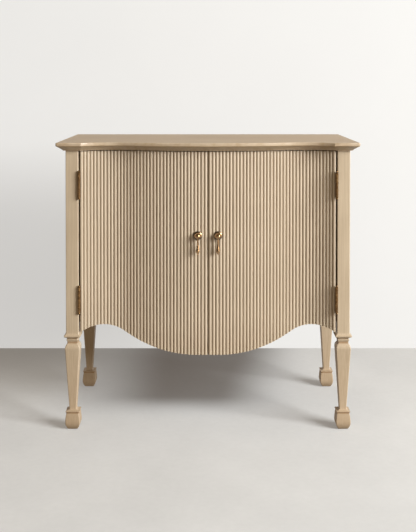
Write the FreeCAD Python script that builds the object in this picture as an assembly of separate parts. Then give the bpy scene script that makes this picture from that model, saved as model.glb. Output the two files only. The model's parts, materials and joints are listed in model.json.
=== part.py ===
"""Hall chest: a two-door cupboard on four square legs, with a serpentine front of reeded doors.

Millimetres, +X to the right, +Y to the back, +Z up. The pieces are drawn with Y = 0 on the front
faces of the front legs, and moved last, so that the origin is on the floor under the middle of the top.
"""
import FreeCAD, Part
import math
import os

V = FreeCAD.Vector

# Overall
TOP_WIDTH = 900.0
TOP_SURFACE_Z = 860.5
CARCASS_DEPTH = 400.0          # front faces of the front legs to back faces of the back legs
SIDE_OVERHANG = 26.0           # the top past the legs
FRONT_OVERHANG = 26.0
BACK_OVERHANG = 6.0            # past the collars of the back legs

# Moulded edge of the top
TOP_THICKNESS = 24.0
ARRIS_RADIUS = 2.5
FASCIA_HEIGHT = 9.5
QUIRK_STEP = 0.6               # the fascia stands proud of the undercut below it
UNDERCUT_RUN = 18.5
UNDERCUT_BULGE = 0.4           # the undercut out from the straight line between its ends
LIP_HEIGHT = 0.8               # upright strip between the undercut and the underside
TOP_CORNER_RADIUS = 5.0
ARRIS_STEPS = 3
UNDERCUT_STEPS = 4

# Legs: half widths of the square section, and heights above the floor
STILE_WIDTH = 38.0
COLLAR_FLARE = 5.5             # the collar past the stile
COLLAR_HOLLOW = 1.5            # hollow and bulge: the middle of a curve off the line between its ends
COLLAR_TOP_Z = 291.5
COLLAR_EDGE_Z = 283.5
COLLAR_EDGE_HEIGHT = 4.5
BEAD_TOP_Z = 274.0
BEAD_BASE_Z = 264.5
BEAD_BULGE = 2.1               # the bead past the neck
NECK_HALF = 15.6
NECK_Z = 258.0
SHOULDER_HALF = 21.8
SHOULDER_Z = 239.5
SHOULDER_BULGE = 2.4
ANKLE_HALF = 10.6
ANKLE_Z = 60.0
ANKLE_HOLLOW = 1.5
FOOT_COLLAR_HALF = 20.6
FOOT_COLLAR_TOP_Z = 55.0
FOOT_COLLAR_BASE_Z = 52.0
FOOT_LINE_DEPTH = 1.8          # incised line under the foot collar
FOOT_LINE_HEIGHT = 2.2
FOOT_BULB_HALF = 21.4
FOOT_BULB_Z = 29.0
FOOT_UPPER_BULGE = 0.3
FOOT_LOWER_BULGE = 3.0
FOOT_BASE_HALF = 14.6

# Floor glides
GLIDE_RADIUS = 11.0
GLIDE_THICKNESS = 1.2
GLIDE_CHAMFER = 0.4
GLIDE_NAIL_RADIUS = 1.2
GLIDE_NAIL_LENGTH = 14.0

# Serpentine of the doors, seen from above: a bow in the middle and a scoop beside each leg
SCOOP_RADIUS = 190.0
SCOOP_TO_HINGE = 97.0          # deepest point of the scoop to the hinge edge
SCOOP_TO_TURN = 50.0           # deepest point of the scoop to where it turns into the bow

# Doors
DOOR_CORE_THICKNESS = 15.0
REED_HEIGHT = 4.0
REED_COUNT = 38
REED_QUIRK = 0.5               # flat left between two reeds
DOOR_TOP_GAP = 3.0
MEETING_GAP = 3.0
DOOR_LOWEST_Z = 228.5          # scalloped lower edge: flat, then a rise to a peak beside the leg
SCALLOP_FLAT_HALF = 38.0
SCALLOP_PEAK_RADIUS = 120.0
SCALLOP_PEAK_TO_HINGE = 65.0
SCALLOP_ANGLE = math.radians(32.7)

# Carcass boards
BOARD_THICKNESS = 18.0
BOARD_DOOR_GAP = 2.0           # boards behind the closed doors
BOTTOM_ABOVE_PEAK = 9.0        # underside of the bottom board above the peak of the scallop
SIDE_THICKNESS = 16.0
SIDE_INSET = 4.0               # side panel behind the outer faces of the legs
SIDE_ABOVE_COLLAR = 6.0
TONGUE_THICKNESS = 8.0
TONGUE_LENGTH = 8.0
BACK_THICKNESS = 6.0
BACK_INSET = 6.0               # back panel in front of the back faces of the back legs
BACK_GROOVE_DEPTH = 6.0

# Shelf on pins
SHELF_THICKNESS = 18.0
SHELF_BELOW_SUB_TOP = 247.0    # underside of the shelf below the underside of the sub top
SHELF_CLEARANCE = 1.5
SHELF_FRONT_Y = 64.0
PIN_HOLE_PITCH = 32.0
PIN_HOLES_EACH_WAY = 2
PIN_FROM_LEG = 45.0
SHELF_PIN_RADIUS = 2.5
SHELF_PIN_INSET = 9.0
SHELF_PIN_REACH = 10.0
SHELF_PIN_COLLAR_RADIUS = 4.0
SHELF_PIN_COLLAR_LENGTH = 1.5

# Joinery
DOWEL_RADIUS = 4.0
DOWEL_IN_BOARD = 20.0
DOWEL_IN_SIDE = 10.0
DOWEL_FROM_LEG = 40.0
CORNER_BLOCK_LENGTH = 36.0
CORNER_BLOCK_HEIGHT = 22.0
FIT_CLEARANCE = 0.05           # round a dowel, pin or screw in its hole
HOLE_MOUTH = 1.0               # a cutting tool starts this far outside the face

# Butt hinges
UPPER_HINGE_BELOW_TOP = 100.0  # middle of the upper hinge below the top of the door
LOWER_HINGE_ABOVE_COLLAR = 99.0
LEAF_THICKNESS = 1.8
LEAF_CLEARANCE = 0.6           # between the two closed leaves
LEAF_LENGTH = 76.0
LEAF_BACK_INSET = 2.7          # a leaf's back edge in front of the door's back face
KNUCKLE_COUNT = 5
KNUCKLE_GAP = 0.3
BARREL_RADIUS = 4.0
BARREL_CLEARANCE = 0.3
HINGE_PIN_RADIUS = 2.0
HINGE_BALL_RADIUS = 3.2
RUNNING_CLEARANCE = 0.05
LEAF_SCREW_INSET = 4.5         # screws from a leaf's back edge
LEAF_SCREW_PITCH = 26.0

# Drop pulls
PULL_X = 30.0
PULL_BELOW_TOP = 249.0         # pivot below the top of the door
ROSETTE_RADIUS = 13.0
ROSETTE_RIM = 1.8
ROSETTE_DOME = 4.6             # from the door to where the dome meets the neck
ROSETTE_BULGE = 0.8
ROSETTE_NECK_RADIUS = 6.0
PULL_BALL_RADIUS = 9.0
PULL_BALL_CENTRE = 12.0        # pivot in front of the reeds
EYE_RADIUS = 3.0
EYE_THICKNESS = 2.6
EYE_CLEARANCE = 0.35
EYE_TAB_HALF = 1.8
PIVOT_RADIUS = 1.0
DROP_LENGTH = 55.0
DROP_STEM_RADIUS = 2.8
DROP_STEM_LENGTH = 16.0
DROP_STEM_HOLLOW = 0.25
DROP_BULB_RADIUS = 5.8
DROP_BULB_BULGE = 1.5
DROP_BULB_ABOVE_TIP = 11.5
DROP_TIP_RADIUS = 1.9
PULL_BOLT_IN_ROSETTE = 5.0

# Magnetic catch
CATCH_WIDTH = 64.0
CATCH_DEPTH = 16.0
CATCH_HEIGHT = 14.0
CATCH_GAP = 0.3
CATCH_SCREW_X = 26.0
STRIKE_X = 20.0
STRIKE_WIDTH = 16.0
STRIKE_HEIGHT = 12.0
STRIKE_THICKNESS = 1.2

# Screws: shank radius, head radius, head height, length
HINGE_SCREW = (1.6, 3.2, 1.8, 12.0)
TOP_SCREW = (2.0, 4.0, 2.4, 34.0)
BACK_SCREW = (1.5, 3.2, 1.8, 18.0)
CATCH_SCREW = (1.5, 2.8, 1.6, 24.0)
STRIKE_SCREW = (1.2, 2.2, 1.1, 10.0)
PULL_BOLT_RADIUS = 2.0
PULL_BOLT_HEAD_RADIUS = 4.2
PULL_BOLT_HEAD_HEIGHT = 2.4
PULL_BOLT_CHAMFER = 0.7
TOP_SCREW_X = (-260.0, 0.0, 260.0)
TOP_SCREW_FROM_LEG = 34.0
BACK_SCREW_X = (-300.0, -100.0, 100.0, 300.0)

# Worked out from the sizes above
STILE_HALF = STILE_WIDTH / 2
LEG_X = TOP_WIDTH / 2 - SIDE_OVERHANG - STILE_HALF
LEG_INNER_X = LEG_X - STILE_HALF
LEG_TOP_Z = TOP_SURFACE_Z - TOP_THICKNESS
LEG_FRONT_Y = STILE_HALF
LEG_BACK_Y = CARCASS_DEPTH - STILE_HALF
COLLAR_HALF = STILE_HALF + COLLAR_FLARE

HINGE_GAP = 2 * LEAF_THICKNESS + LEAF_CLEARANCE
DOOR_OUTER_X = LEG_INNER_X - HINGE_GAP
DOOR_INNER_X = MEETING_GAP / 2
DOOR_TOP_Z = LEG_TOP_Z - DOOR_TOP_GAP
CORE_BACK = REED_HEIGHT + DOOR_CORE_THICKNESS
HINGE_Z = {"upper": DOOR_TOP_Z - UPPER_HINGE_BELOW_TOP, "lower": COLLAR_TOP_Z + LOWER_HINGE_ABOVE_COLLAR}
HINGE_X = LEG_INNER_X - HINGE_GAP / 2
HINGE_Y = -math.sqrt((BARREL_RADIUS + BARREL_CLEARANCE) ** 2 - (HINGE_GAP / 2) ** 2)

SCOOP_X = DOOR_OUTER_X - SCOOP_TO_HINGE
SCOOP_CENTRE_Y = -math.sqrt(SCOOP_RADIUS**2 - SCOOP_TO_HINGE**2)
TURN_ANGLE = math.asin(SCOOP_TO_TURN / SCOOP_RADIUS)
BOW_RADIUS = (SCOOP_X - SCOOP_TO_TURN) / math.sin(TURN_ANGLE)
BOW_CENTRE_Y = SCOOP_CENTRE_Y + (SCOOP_RADIUS + BOW_RADIUS) * math.cos(TURN_ANGLE)
BOW_Y = BOW_CENTRE_Y - BOW_RADIUS
TOP_FRONT_Y = BOW_Y - FRONT_OVERHANG
TOP_BACK_Y = CARCASS_DEPTH + BACK_OVERHANG
ORIGIN_Y = (TOP_FRONT_Y + TOP_BACK_Y) / 2

DOOR_BACK_Y = SCOOP_CENTRE_Y + math.sqrt((SCOOP_RADIUS + CORE_BACK) ** 2 - SCOOP_TO_HINGE**2)
LEAF_BACK_Y = DOOR_BACK_Y - LEAF_BACK_INSET
LEAF_SCREW_Y = LEAF_BACK_Y - LEAF_SCREW_INSET

SCALLOP_PEAK_X = DOOR_OUTER_X - SCALLOP_PEAK_TO_HINGE
SCALLOP_TURN_X = SCALLOP_PEAK_X - SCALLOP_PEAK_RADIUS * math.sin(SCALLOP_ANGLE)
SCALLOP_RADIUS = (SCALLOP_TURN_X - SCALLOP_FLAT_HALF) / math.sin(SCALLOP_ANGLE)
SCALLOP_RISE = 1 - math.cos(SCALLOP_ANGLE)
SCALLOP_TURN_Z = DOOR_LOWEST_Z + SCALLOP_RADIUS * SCALLOP_RISE
SCALLOP_PEAK_Z = SCALLOP_TURN_Z + SCALLOP_PEAK_RADIUS * SCALLOP_RISE

SIDE_OUTER_X = LEG_X + STILE_HALF - SIDE_INSET
SIDE_INNER_X = SIDE_OUTER_X - SIDE_THICKNESS
SIDE_BASE_Z = COLLAR_TOP_Z + SIDE_ABOVE_COLLAR
TONGUE_X = SIDE_INNER_X + (SIDE_THICKNESS - TONGUE_THICKNESS) / 2
BACK_FRONT_Y = CARCASS_DEPTH - BACK_INSET - BACK_THICKNESS
BACK_HALF_WIDTH = LEG_INNER_X + BACK_GROOVE_DEPTH
BOTTOM_Z = SCALLOP_PEAK_Z + BOTTOM_ABOVE_PEAK
SUB_TOP_Z = LEG_TOP_Z - BOARD_THICKNESS
BOARDS = (BOTTOM_Z, SUB_TOP_Z)
SIDE_FRONT_Y = STILE_WIDTH
SIDE_BACK_Y = CARCASS_DEPTH - STILE_WIDTH
SHELF_UNDERSIDE_Z = SUB_TOP_Z - SHELF_BELOW_SUB_TOP
SHELF_PIN_Z = SHELF_UNDERSIDE_Z - SHELF_PIN_RADIUS - FIT_CLEARANCE
SHELF_PIN_YS = (SIDE_FRONT_Y + PIN_FROM_LEG, SIDE_BACK_Y - PIN_FROM_LEG)
DOWEL_YS = (SIDE_FRONT_Y + DOWEL_FROM_LEG, CARCASS_DEPTH / 2, SIDE_BACK_Y - DOWEL_FROM_LEG)
PULL_Y = BOW_Y - PULL_BALL_CENTRE
PULL_Z = DOOR_TOP_Z - PULL_BELOW_TOP


# Building blocks


def box(x0, x1, y0, y1, z0, z1):
    return Part.makeBox(x1 - x0, y1 - y0, z1 - z0, V(x0, y0, z0))


def line(a, b):
    return Part.LineSegment(a, b).toShape()


def arc(a, middle, b):
    return Part.Arc(a, middle, b).toShape()


def solid_of(edges, sweep):
    """The closed outline of the edges, pushed along the sweep vector."""
    return Part.Face(Part.Wire(edges)).extrude(sweep)


def bowed(a, b, bulge):
    """Outline step from a to b as an arc whose middle is off the straight line; a hollow counts as negative."""
    du = b[0] - a[0]
    dw = b[1] - a[1]
    share = bulge / math.hypot(du, dw)
    return ((a[0] + b[0]) / 2 + share * dw, (a[1] + b[1]) / 2 - share * du) + b


def outline_edges(outline):
    """Edges through (u, w) points in the XZ plane; a point with four values is (mid u, mid w, u, w), an arc."""
    edges = []
    here = V(outline[0][0], 0, outline[0][1])
    for step in outline[1:]:
        there = V(step[-2], 0, step[-1])
        if len(step) == 4:
            edges.append(arc(here, V(step[0], 0, step[1]), there))
        else:
            edges.append(line(here, there))
        here = there
    return edges


def turned(outline, at, axis):
    """A lathe-turned piece: (radius, height) points from axis to axis, stood at a point along an axis."""
    edges = outline_edges(outline)
    edges.append(line(V(0, 0, outline[-1][1]), V(0, 0, outline[0][1])))
    piece = Part.Face(Part.Wire(edges)).revolve(V(0, 0, 0), V(0, 0, 1), 360)
    if piece.Volume < 0:
        piece.reverse()
    piece.Placement = FreeCAD.Placement(at, FreeCAD.Rotation(V(0, 0, 1), axis))
    return piece


def pin(radius, at, axis, length):
    return Part.makeCylinder(radius, length, at, axis)


def mirrored(shape):
    return shape.mirror(V(0, 0, 0), V(1, 0, 0))


def both_sides(shapes):
    return shapes + [mirrored(shape) for shape in shapes]


def one_solid(shape):
    return shape.removeSplitter().Solids[0]


def screw(size, at, axis):
    """Countersunk screw whose head is flush at a point."""
    shank, head, head_height, length = size
    return turned([(0, 0), (head, 0), (shank, head_height), (shank, length), (0, length)], at, axis)


def screw_hole(size, at, axis):
    shank, head, head_height, length = [value + FIT_CLEARANCE for value in size]
    return turned(
        [(0, -HOLE_MOUTH), (head, -HOLE_MOUTH), (head, 0), (shank, head_height), (shank, length), (0, length)],
        at,
        axis,
    )


# Serpentine: the crests of the reeds lie on it, and an offset counts backwards from there


def bow_y(offset, x):
    return BOW_CENTRE_Y - math.sqrt((BOW_RADIUS - offset) ** 2 - x**2)


def scoop_y(offset, x):
    return SCOOP_CENTRE_Y + math.sqrt((SCOOP_RADIUS + offset) ** 2 - (x - SCOOP_X) ** 2)


def bow_point(offset, angle):
    radius = BOW_RADIUS - offset
    return V(radius * math.sin(angle), BOW_CENTRE_Y - radius * math.cos(angle), 0)


def scoop_point(offset, angle):
    """A point of the right scoop; the angle falls from the turn, through 0 at its deepest point."""
    radius = SCOOP_RADIUS + offset
    return V(SCOOP_X - radius * math.sin(angle), SCOOP_CENTRE_Y + radius * math.cos(angle), 0)


def scoop_end_angle(offset, x):
    return -math.asin((x - SCOOP_X) / (SCOOP_RADIUS + offset))


def half_front(offset, x0, x1):
    """Arcs of the right half, from x0 on the bow to x1 in the scoop."""
    start = math.asin(x0 / (BOW_RADIUS - offset))
    end = scoop_end_angle(offset, x1)
    turn = bow_point(offset, TURN_ANGLE)
    bow = arc(bow_point(offset, start), bow_point(offset, (start + TURN_ANGLE) / 2), turn)
    scoop = arc(turn, scoop_point(offset, (TURN_ANGLE + end) / 2), scoop_point(offset, end))
    return [bow, scoop]


def whole_front(offset, x1):
    """Arcs from -x1 to x1, in order."""
    left = V(-x1, scoop_y(offset, x1), 0)
    right = V(x1, scoop_y(offset, x1), 0)
    turn = bow_point(offset, TURN_ANGLE)
    left_turn = V(-turn.x, turn.y, 0)
    middle = scoop_point(offset, (TURN_ANGLE + scoop_end_angle(offset, x1)) / 2)
    return [
        arc(left, V(-middle.x, middle.y, 0), left_turn),
        arc(left_turn, bow_point(offset, 0), turn),
        arc(turn, middle, right),
    ]


# Top


def top_outline(inset, z):
    """Edge of the top at one level of its moulding. The back edge is plain."""
    side = TOP_WIDTH / 2 - inset
    front = inset - FRONT_OVERHANG
    corner = TOP_CORNER_RADIUS
    diagonal = corner * (1 - math.sqrt(0.5))
    radius = SCOOP_RADIUS + front
    crease = SCOOP_X + math.sqrt(radius**2 - (front - SCOOP_CENTRE_Y) ** 2)
    scoop_left, bow, scoop_right = whole_front(front, crease)
    edges = [
        line(V(-side, TOP_BACK_Y, 0), V(-side, front + corner, 0)),
        arc(V(-side, front + corner, 0), V(diagonal - side, front + diagonal, 0), V(corner - side, front, 0)),
        line(V(corner - side, front, 0), V(-crease, front, 0)),
        scoop_left,
        bow,
        scoop_right,
        line(V(crease, front, 0), V(side - corner, front, 0)),
        arc(V(side - corner, front, 0), V(side - diagonal, front + diagonal, 0), V(side, front + corner, 0)),
        line(V(side, front + corner, 0), V(side, TOP_BACK_Y, 0)),
        line(V(side, TOP_BACK_Y, 0), V(-side, TOP_BACK_Y, 0)),
    ]
    wire = Part.Wire(edges)
    wire.translate(V(0, 0, z))
    return wire


def top_levels():
    """(inset, z) of the moulding, from the top surface down: arris, fascia, quirk, undercut, lip."""
    fascia_z = TOP_SURFACE_Z - FASCIA_HEIGHT
    undercut_height = TOP_THICKNESS - FASCIA_HEIGHT - QUIRK_STEP - LIP_HEIGHT
    levels = []
    for step in range(ARRIS_STEPS + 1):
        angle = math.pi / 2 * step / ARRIS_STEPS
        levels.append((ARRIS_RADIUS * (1 - math.sin(angle)), TOP_SURFACE_Z - ARRIS_RADIUS * (1 - math.cos(angle))))
    levels.append((0, fascia_z))
    slope = math.atan2(undercut_height, UNDERCUT_RUN)
    for step in range(UNDERCUT_STEPS + 1):
        share = step / UNDERCUT_STEPS
        bulge = 4 * UNDERCUT_BULGE * share * (1 - share)
        inset = QUIRK_STEP + UNDERCUT_RUN * share - bulge * math.sin(slope)
        levels.append((inset, fascia_z - QUIRK_STEP - undercut_height * share - bulge * math.cos(slope)))
    levels.append((QUIRK_STEP + UNDERCUT_RUN, LEG_TOP_Z))
    return levels


def top_screw_points():
    ys = (SIDE_FRONT_Y + TOP_SCREW_FROM_LEG, SIDE_BACK_Y - TOP_SCREW_FROM_LEG)
    return [V(x, y, SUB_TOP_Z) for x in TOP_SCREW_X for y in ys]


def make_top():
    slab = Part.makeLoft([top_outline(inset, z) for inset, z in top_levels()], True, True)
    return slab.cut([screw_hole(TOP_SCREW, point, V(0, 0, 1)) for point in top_screw_points()])


# Legs


def leg_outline():
    """(half width, z) from the floor glide up to the top."""
    line_half = FOOT_COLLAR_HALF - FOOT_LINE_DEPTH
    foot_base = (FOOT_BASE_HALF, GLIDE_THICKNESS)
    foot_bulb = (FOOT_BULB_HALF, FOOT_BULB_Z)
    foot_line = (line_half, FOOT_COLLAR_BASE_Z - FOOT_LINE_HEIGHT)
    foot_top = (FOOT_COLLAR_HALF, FOOT_COLLAR_TOP_Z)
    ankle = (ANKLE_HALF, ANKLE_Z)
    shoulder = (SHOULDER_HALF, SHOULDER_Z)
    neck = (NECK_HALF, NECK_Z)
    bead_base = (NECK_HALF, BEAD_BASE_Z)
    bead_top = (NECK_HALF, BEAD_TOP_Z)
    collar_edge = (COLLAR_HALF, COLLAR_EDGE_Z)
    return [
        foot_base,
        bowed(foot_base, foot_bulb, FOOT_LOWER_BULGE),
        bowed(foot_bulb, foot_line, FOOT_UPPER_BULGE),
        (line_half, FOOT_COLLAR_BASE_Z),
        (FOOT_COLLAR_HALF, FOOT_COLLAR_BASE_Z),
        foot_top,
        bowed(foot_top, ankle, -ANKLE_HOLLOW),
        shoulder,
        bowed(shoulder, neck, SHOULDER_BULGE),
        bead_base,
        bowed(bead_base, bead_top, BEAD_BULGE),
        (COLLAR_HALF, COLLAR_EDGE_Z - COLLAR_EDGE_HEIGHT),
        collar_edge,
        bowed(collar_edge, (STILE_HALF, COLLAR_TOP_Z), -COLLAR_HOLLOW),
        (STILE_HALF, LEG_TOP_Z),
    ]


def leg_blank(y):
    """Right leg: the same outline on all four sides, so the section is square at every height."""
    outline = leg_outline()
    left = [tuple(-value if i % 2 == 0 else value for i, value in enumerate(point)) for point in outline]
    right_edges = outline_edges(outline)
    left_edges = outline_edges(left)
    ends = [
        line(V(-STILE_HALF, 0, LEG_TOP_Z), V(STILE_HALF, 0, LEG_TOP_Z)),
        line(V(-FOOT_BASE_HALF, 0, GLIDE_THICKNESS), V(FOOT_BASE_HALF, 0, GLIDE_THICKNESS)),
    ]
    widest = max(COLLAR_HALF, SHOULDER_HALF, FOOT_BULB_HALF, FOOT_COLLAR_HALF) + HOLE_MOUTH
    wire = Part.Wire(Part.__sortEdges__(right_edges + left_edges + ends))
    front = Part.Face(wire).extrude(V(0, 2 * widest, 0))
    front.translate(V(0, -widest, 0))
    side = front.copy()
    side.rotate(V(0, 0, 0), V(0, 0, 1), 90)
    leg = front.common(side)
    leg.translate(V(LEG_X, y, 0))
    nail = pin(
        GLIDE_NAIL_RADIUS + FIT_CLEARANCE,
        V(LEG_X, y, 0),
        V(0, 0, 1),
        GLIDE_THICKNESS + GLIDE_NAIL_LENGTH + FIT_CLEARANCE,
    )
    return leg.cut(nail)


def make_front_leg():
    """Right front leg, with the groove for the side panel's tongue and the holes for the hinge screws."""
    groove = box(
        TONGUE_X,
        TONGUE_X + TONGUE_THICKNESS,
        SIDE_FRONT_Y - TONGUE_LENGTH,
        SIDE_FRONT_Y + COLLAR_FLARE,
        SIDE_BASE_Z,
        LEG_TOP_Z,
    )
    holes = [screw_hole(HINGE_SCREW, point, V(1, 0, 0)) for point in frame_screw_points()]
    return one_solid(leg_blank(LEG_FRONT_Y).cut([groove] + holes))


def make_back_leg():
    """Right back leg, with the grooves for the side panel and the back panel."""
    side_groove = box(
        TONGUE_X,
        TONGUE_X + TONGUE_THICKNESS,
        SIDE_BACK_Y - COLLAR_FLARE,
        SIDE_BACK_Y + TONGUE_LENGTH,
        SIDE_BASE_Z,
        LEG_TOP_Z,
    )
    back_groove = box(
        LEG_INNER_X - COLLAR_FLARE,
        BACK_HALF_WIDTH,
        BACK_FRONT_Y,
        BACK_FRONT_Y + BACK_THICKNESS,
        BOTTOM_Z,
        LEG_TOP_Z,
    )
    return one_solid(leg_blank(LEG_BACK_Y).cut([side_groove, back_groove]))


def make_glide(x, y):
    return turned(
        [
            (0, 0),
            (GLIDE_RADIUS - GLIDE_CHAMFER, 0),
            (GLIDE_RADIUS, GLIDE_CHAMFER),
            (GLIDE_RADIUS, GLIDE_THICKNESS),
            (GLIDE_NAIL_RADIUS, GLIDE_THICKNESS),
            (GLIDE_NAIL_RADIUS, GLIDE_THICKNESS + GLIDE_NAIL_LENGTH),
            (0, GLIDE_THICKNESS + GLIDE_NAIL_LENGTH),
        ],
        V(x, y, 0),
        V(0, 0, 1),
    )


# Carcass boards


def carcass_board():
    """Bottom board or sub top at Z = 0: its front edge follows the doors, its corners are cut round the legs."""
    front = CORE_BACK + BOARD_DOOR_GAP
    corners = [
        V(LEG_INNER_X, scoop_y(front, LEG_INNER_X), 0),
        V(LEG_INNER_X, SIDE_FRONT_Y, 0),
        V(SIDE_INNER_X, SIDE_FRONT_Y, 0),
        V(SIDE_INNER_X, SIDE_BACK_Y, 0),
        V(LEG_INNER_X, SIDE_BACK_Y, 0),
        V(LEG_INNER_X, BACK_FRONT_Y, 0),
    ]
    corners += [V(-point.x, point.y, 0) for point in reversed(corners)]
    sides = [line(a, b) for a, b in zip(corners, corners[1:])]
    return solid_of(whole_front(front, LEG_INNER_X) + sides, V(0, 0, BOARD_THICKNESS))


def dowel_starts(board_z):
    return [V(SIDE_INNER_X - DOWEL_IN_BOARD, y, board_z + BOARD_THICKNESS / 2) for y in DOWEL_YS]


def dowel_holes(board_z):
    ease = V(FIT_CLEARANCE, 0, 0)
    length = DOWEL_IN_BOARD + DOWEL_IN_SIDE + 2 * FIT_CLEARANCE
    starts = [start - ease for start in dowel_starts(board_z)]
    return [pin(DOWEL_RADIUS + FIT_CLEARANCE, start, V(1, 0, 0), length) for start in starts]


def back_screw_points(board_z):
    return [V(x, BACK_FRONT_Y + BACK_THICKNESS, board_z + BOARD_THICKNESS / 2) for x in BACK_SCREW_X]


def back_screw_holes(board_z):
    return [screw_hole(BACK_SCREW, point, V(0, -1, 0)) for point in back_screw_points(board_z)]


def make_bottom_board():
    board = carcass_board()
    board.translate(V(0, 0, BOTTOM_Z))
    return board.cut(both_sides(dowel_holes(BOTTOM_Z)) + back_screw_holes(BOTTOM_Z))


def make_sub_top():
    board = carcass_board()
    board.translate(V(0, 0, SUB_TOP_Z))
    holes = both_sides(dowel_holes(SUB_TOP_Z)) + back_screw_holes(SUB_TOP_Z)
    holes += [screw_hole(TOP_SCREW, point, V(0, 0, 1)) for point in top_screw_points()]
    holes += [screw_hole(CATCH_SCREW, point, V(0, 0, 1)) for point in catch_screw_points()]
    return board.cut(holes)


def shelf_pin_rows():
    count = range(-PIN_HOLES_EACH_WAY, PIN_HOLES_EACH_WAY + 1)
    return [(y, SHELF_PIN_Z + PIN_HOLE_PITCH * step) for y in SHELF_PIN_YS for step in count]


def make_side_panel():
    """Right side panel, tongued into the legs, with rows of holes for the shelf pins."""
    panel = box(SIDE_INNER_X, SIDE_OUTER_X, SIDE_FRONT_Y, SIDE_BACK_Y, SIDE_BASE_Z, LEG_TOP_Z)
    tongues = box(
        TONGUE_X,
        TONGUE_X + TONGUE_THICKNESS,
        SIDE_FRONT_Y - TONGUE_LENGTH,
        SIDE_BACK_Y + TONGUE_LENGTH,
        SIDE_BASE_Z,
        LEG_TOP_Z,
    )
    depth = SHELF_PIN_INSET + FIT_CLEARANCE + HOLE_MOUTH
    radius = SHELF_PIN_RADIUS + FIT_CLEARANCE
    mouth_x = SIDE_INNER_X - HOLE_MOUTH
    holes = [pin(radius, V(mouth_x, y, z), V(1, 0, 0), depth) for y, z in shelf_pin_rows()]
    for board_z in BOARDS:
        holes += dowel_holes(board_z)
    return one_solid(panel.fuse(tongues).cut(holes))


def make_back_panel():
    panel = box(
        -BACK_HALF_WIDTH,
        BACK_HALF_WIDTH,
        BACK_FRONT_Y,
        BACK_FRONT_Y + BACK_THICKNESS,
        BOTTOM_Z,
        LEG_TOP_Z,
    )
    return panel.cut([hole for board_z in BOARDS for hole in back_screw_holes(board_z)])


def make_shelf():
    """Loose shelf, cut round the back legs."""
    side = SIDE_INNER_X - SHELF_CLEARANCE
    back = BACK_FRONT_Y - SHELF_CLEARANCE
    top = SHELF_UNDERSIDE_Z + SHELF_THICKNESS
    board = box(-side, side, SHELF_FRONT_Y, back, SHELF_UNDERSIDE_Z, top)
    notch = box(
        LEG_INNER_X - SHELF_CLEARANCE,
        SIDE_OUTER_X,
        SIDE_BACK_Y - SHELF_CLEARANCE,
        BACK_FRONT_Y,
        SHELF_UNDERSIDE_Z,
        top,
    )
    return board.cut(both_sides([notch]))


def make_shelf_pin(y):
    """Right-hand pin: a peg in the side panel, a collar against it and a peg under the shelf."""
    return turned(
        [
            (0, -SHELF_PIN_INSET),
            (SHELF_PIN_RADIUS, -SHELF_PIN_INSET),
            (SHELF_PIN_RADIUS, 0),
            (SHELF_PIN_COLLAR_RADIUS, 0),
            (SHELF_PIN_COLLAR_RADIUS, SHELF_PIN_COLLAR_LENGTH),
            (SHELF_PIN_RADIUS, SHELF_PIN_COLLAR_LENGTH),
            (SHELF_PIN_RADIUS, SHELF_PIN_REACH),
            (0, SHELF_PIN_REACH),
        ],
        V(SIDE_INNER_X, y, SHELF_PIN_Z),
        V(-1, 0, 0),
    )


def make_corner_blocks():
    """Right-hand glue blocks under the bottom board, between each leg and the side panel."""
    sweep = V(0, 0, CORNER_BLOCK_HEIGHT)
    z = BOTTOM_Z - CORNER_BLOCK_HEIGHT
    blocks = []
    for y, run in ((SIDE_FRONT_Y, CORNER_BLOCK_LENGTH), (SIDE_BACK_Y, -CORNER_BLOCK_LENGTH)):
        corners = [V(SIDE_INNER_X, y, z), V(LEG_INNER_X, y, z), V(SIDE_INNER_X, y + run, z)]
        edges = [line(a, b) for a, b in zip(corners, corners[1:] + corners[:1])]
        blocks.append(solid_of(edges, sweep))
    return blocks


# Doors


def core_front_points():
    """Points on the face that the reeds are glued to, one reed's width apart: each reed beds on a flat."""
    bow_radius = BOW_RADIUS - REED_HEIGHT
    scoop_radius = SCOOP_RADIUS + REED_HEIGHT
    bow_length = bow_radius * TURN_ANGLE
    start = bow_radius * math.asin(DOOR_INNER_X / bow_radius)
    end = bow_length + scoop_radius * (TURN_ANGLE - scoop_end_angle(REED_HEIGHT, DOOR_OUTER_X))
    points = []
    for i in range(REED_COUNT + 1):
        run = start + (end - start) * i / REED_COUNT
        if run < bow_length:
            points.append(bow_point(REED_HEIGHT, run / bow_radius))
        else:
            points.append(scoop_point(REED_HEIGHT, TURN_ANGLE - (run - bow_length) / scoop_radius))
    return points


def below_scallop():
    """What is cut away under the scalloped lower edge of the right door."""
    peak_centre_z = SCALLOP_PEAK_Z - SCALLOP_PEAK_RADIUS
    hinge_z = peak_centre_z + math.sqrt(SCALLOP_PEAK_RADIUS**2 - SCALLOP_PEAK_TO_HINGE**2)
    half_angle = SCALLOP_ANGLE / 2
    outline = [
        (-HOLE_MOUTH, 0),
        (-HOLE_MOUTH, DOOR_LOWEST_Z),
        (SCALLOP_FLAT_HALF, DOOR_LOWEST_Z),
        (
            SCALLOP_FLAT_HALF + SCALLOP_RADIUS * math.sin(half_angle),
            DOOR_LOWEST_Z + SCALLOP_RADIUS * (1 - math.cos(half_angle)),
            SCALLOP_TURN_X,
            SCALLOP_TURN_Z,
        ),
        (SCALLOP_PEAK_X, SCALLOP_PEAK_Z, DOOR_OUTER_X, hinge_z),
        (LEG_X, hinge_z),
        (LEG_X, 0),
        (-HOLE_MOUTH, 0),
    ]
    away = solid_of(outline_edges(outline), V(0, CARCASS_DEPTH, 0))
    away.translate(V(0, TOP_FRONT_Y, 0))
    return away


def pull_bolt_hole():
    """Through the reeds and the core, from in front of the door to behind it."""
    through = CORE_BACK + 2 * PULL_BALL_CENTRE
    return pin(PULL_BOLT_RADIUS + FIT_CLEARANCE, V(PULL_X, PULL_Y, PULL_Z), V(0, 1, 0), through)


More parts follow.
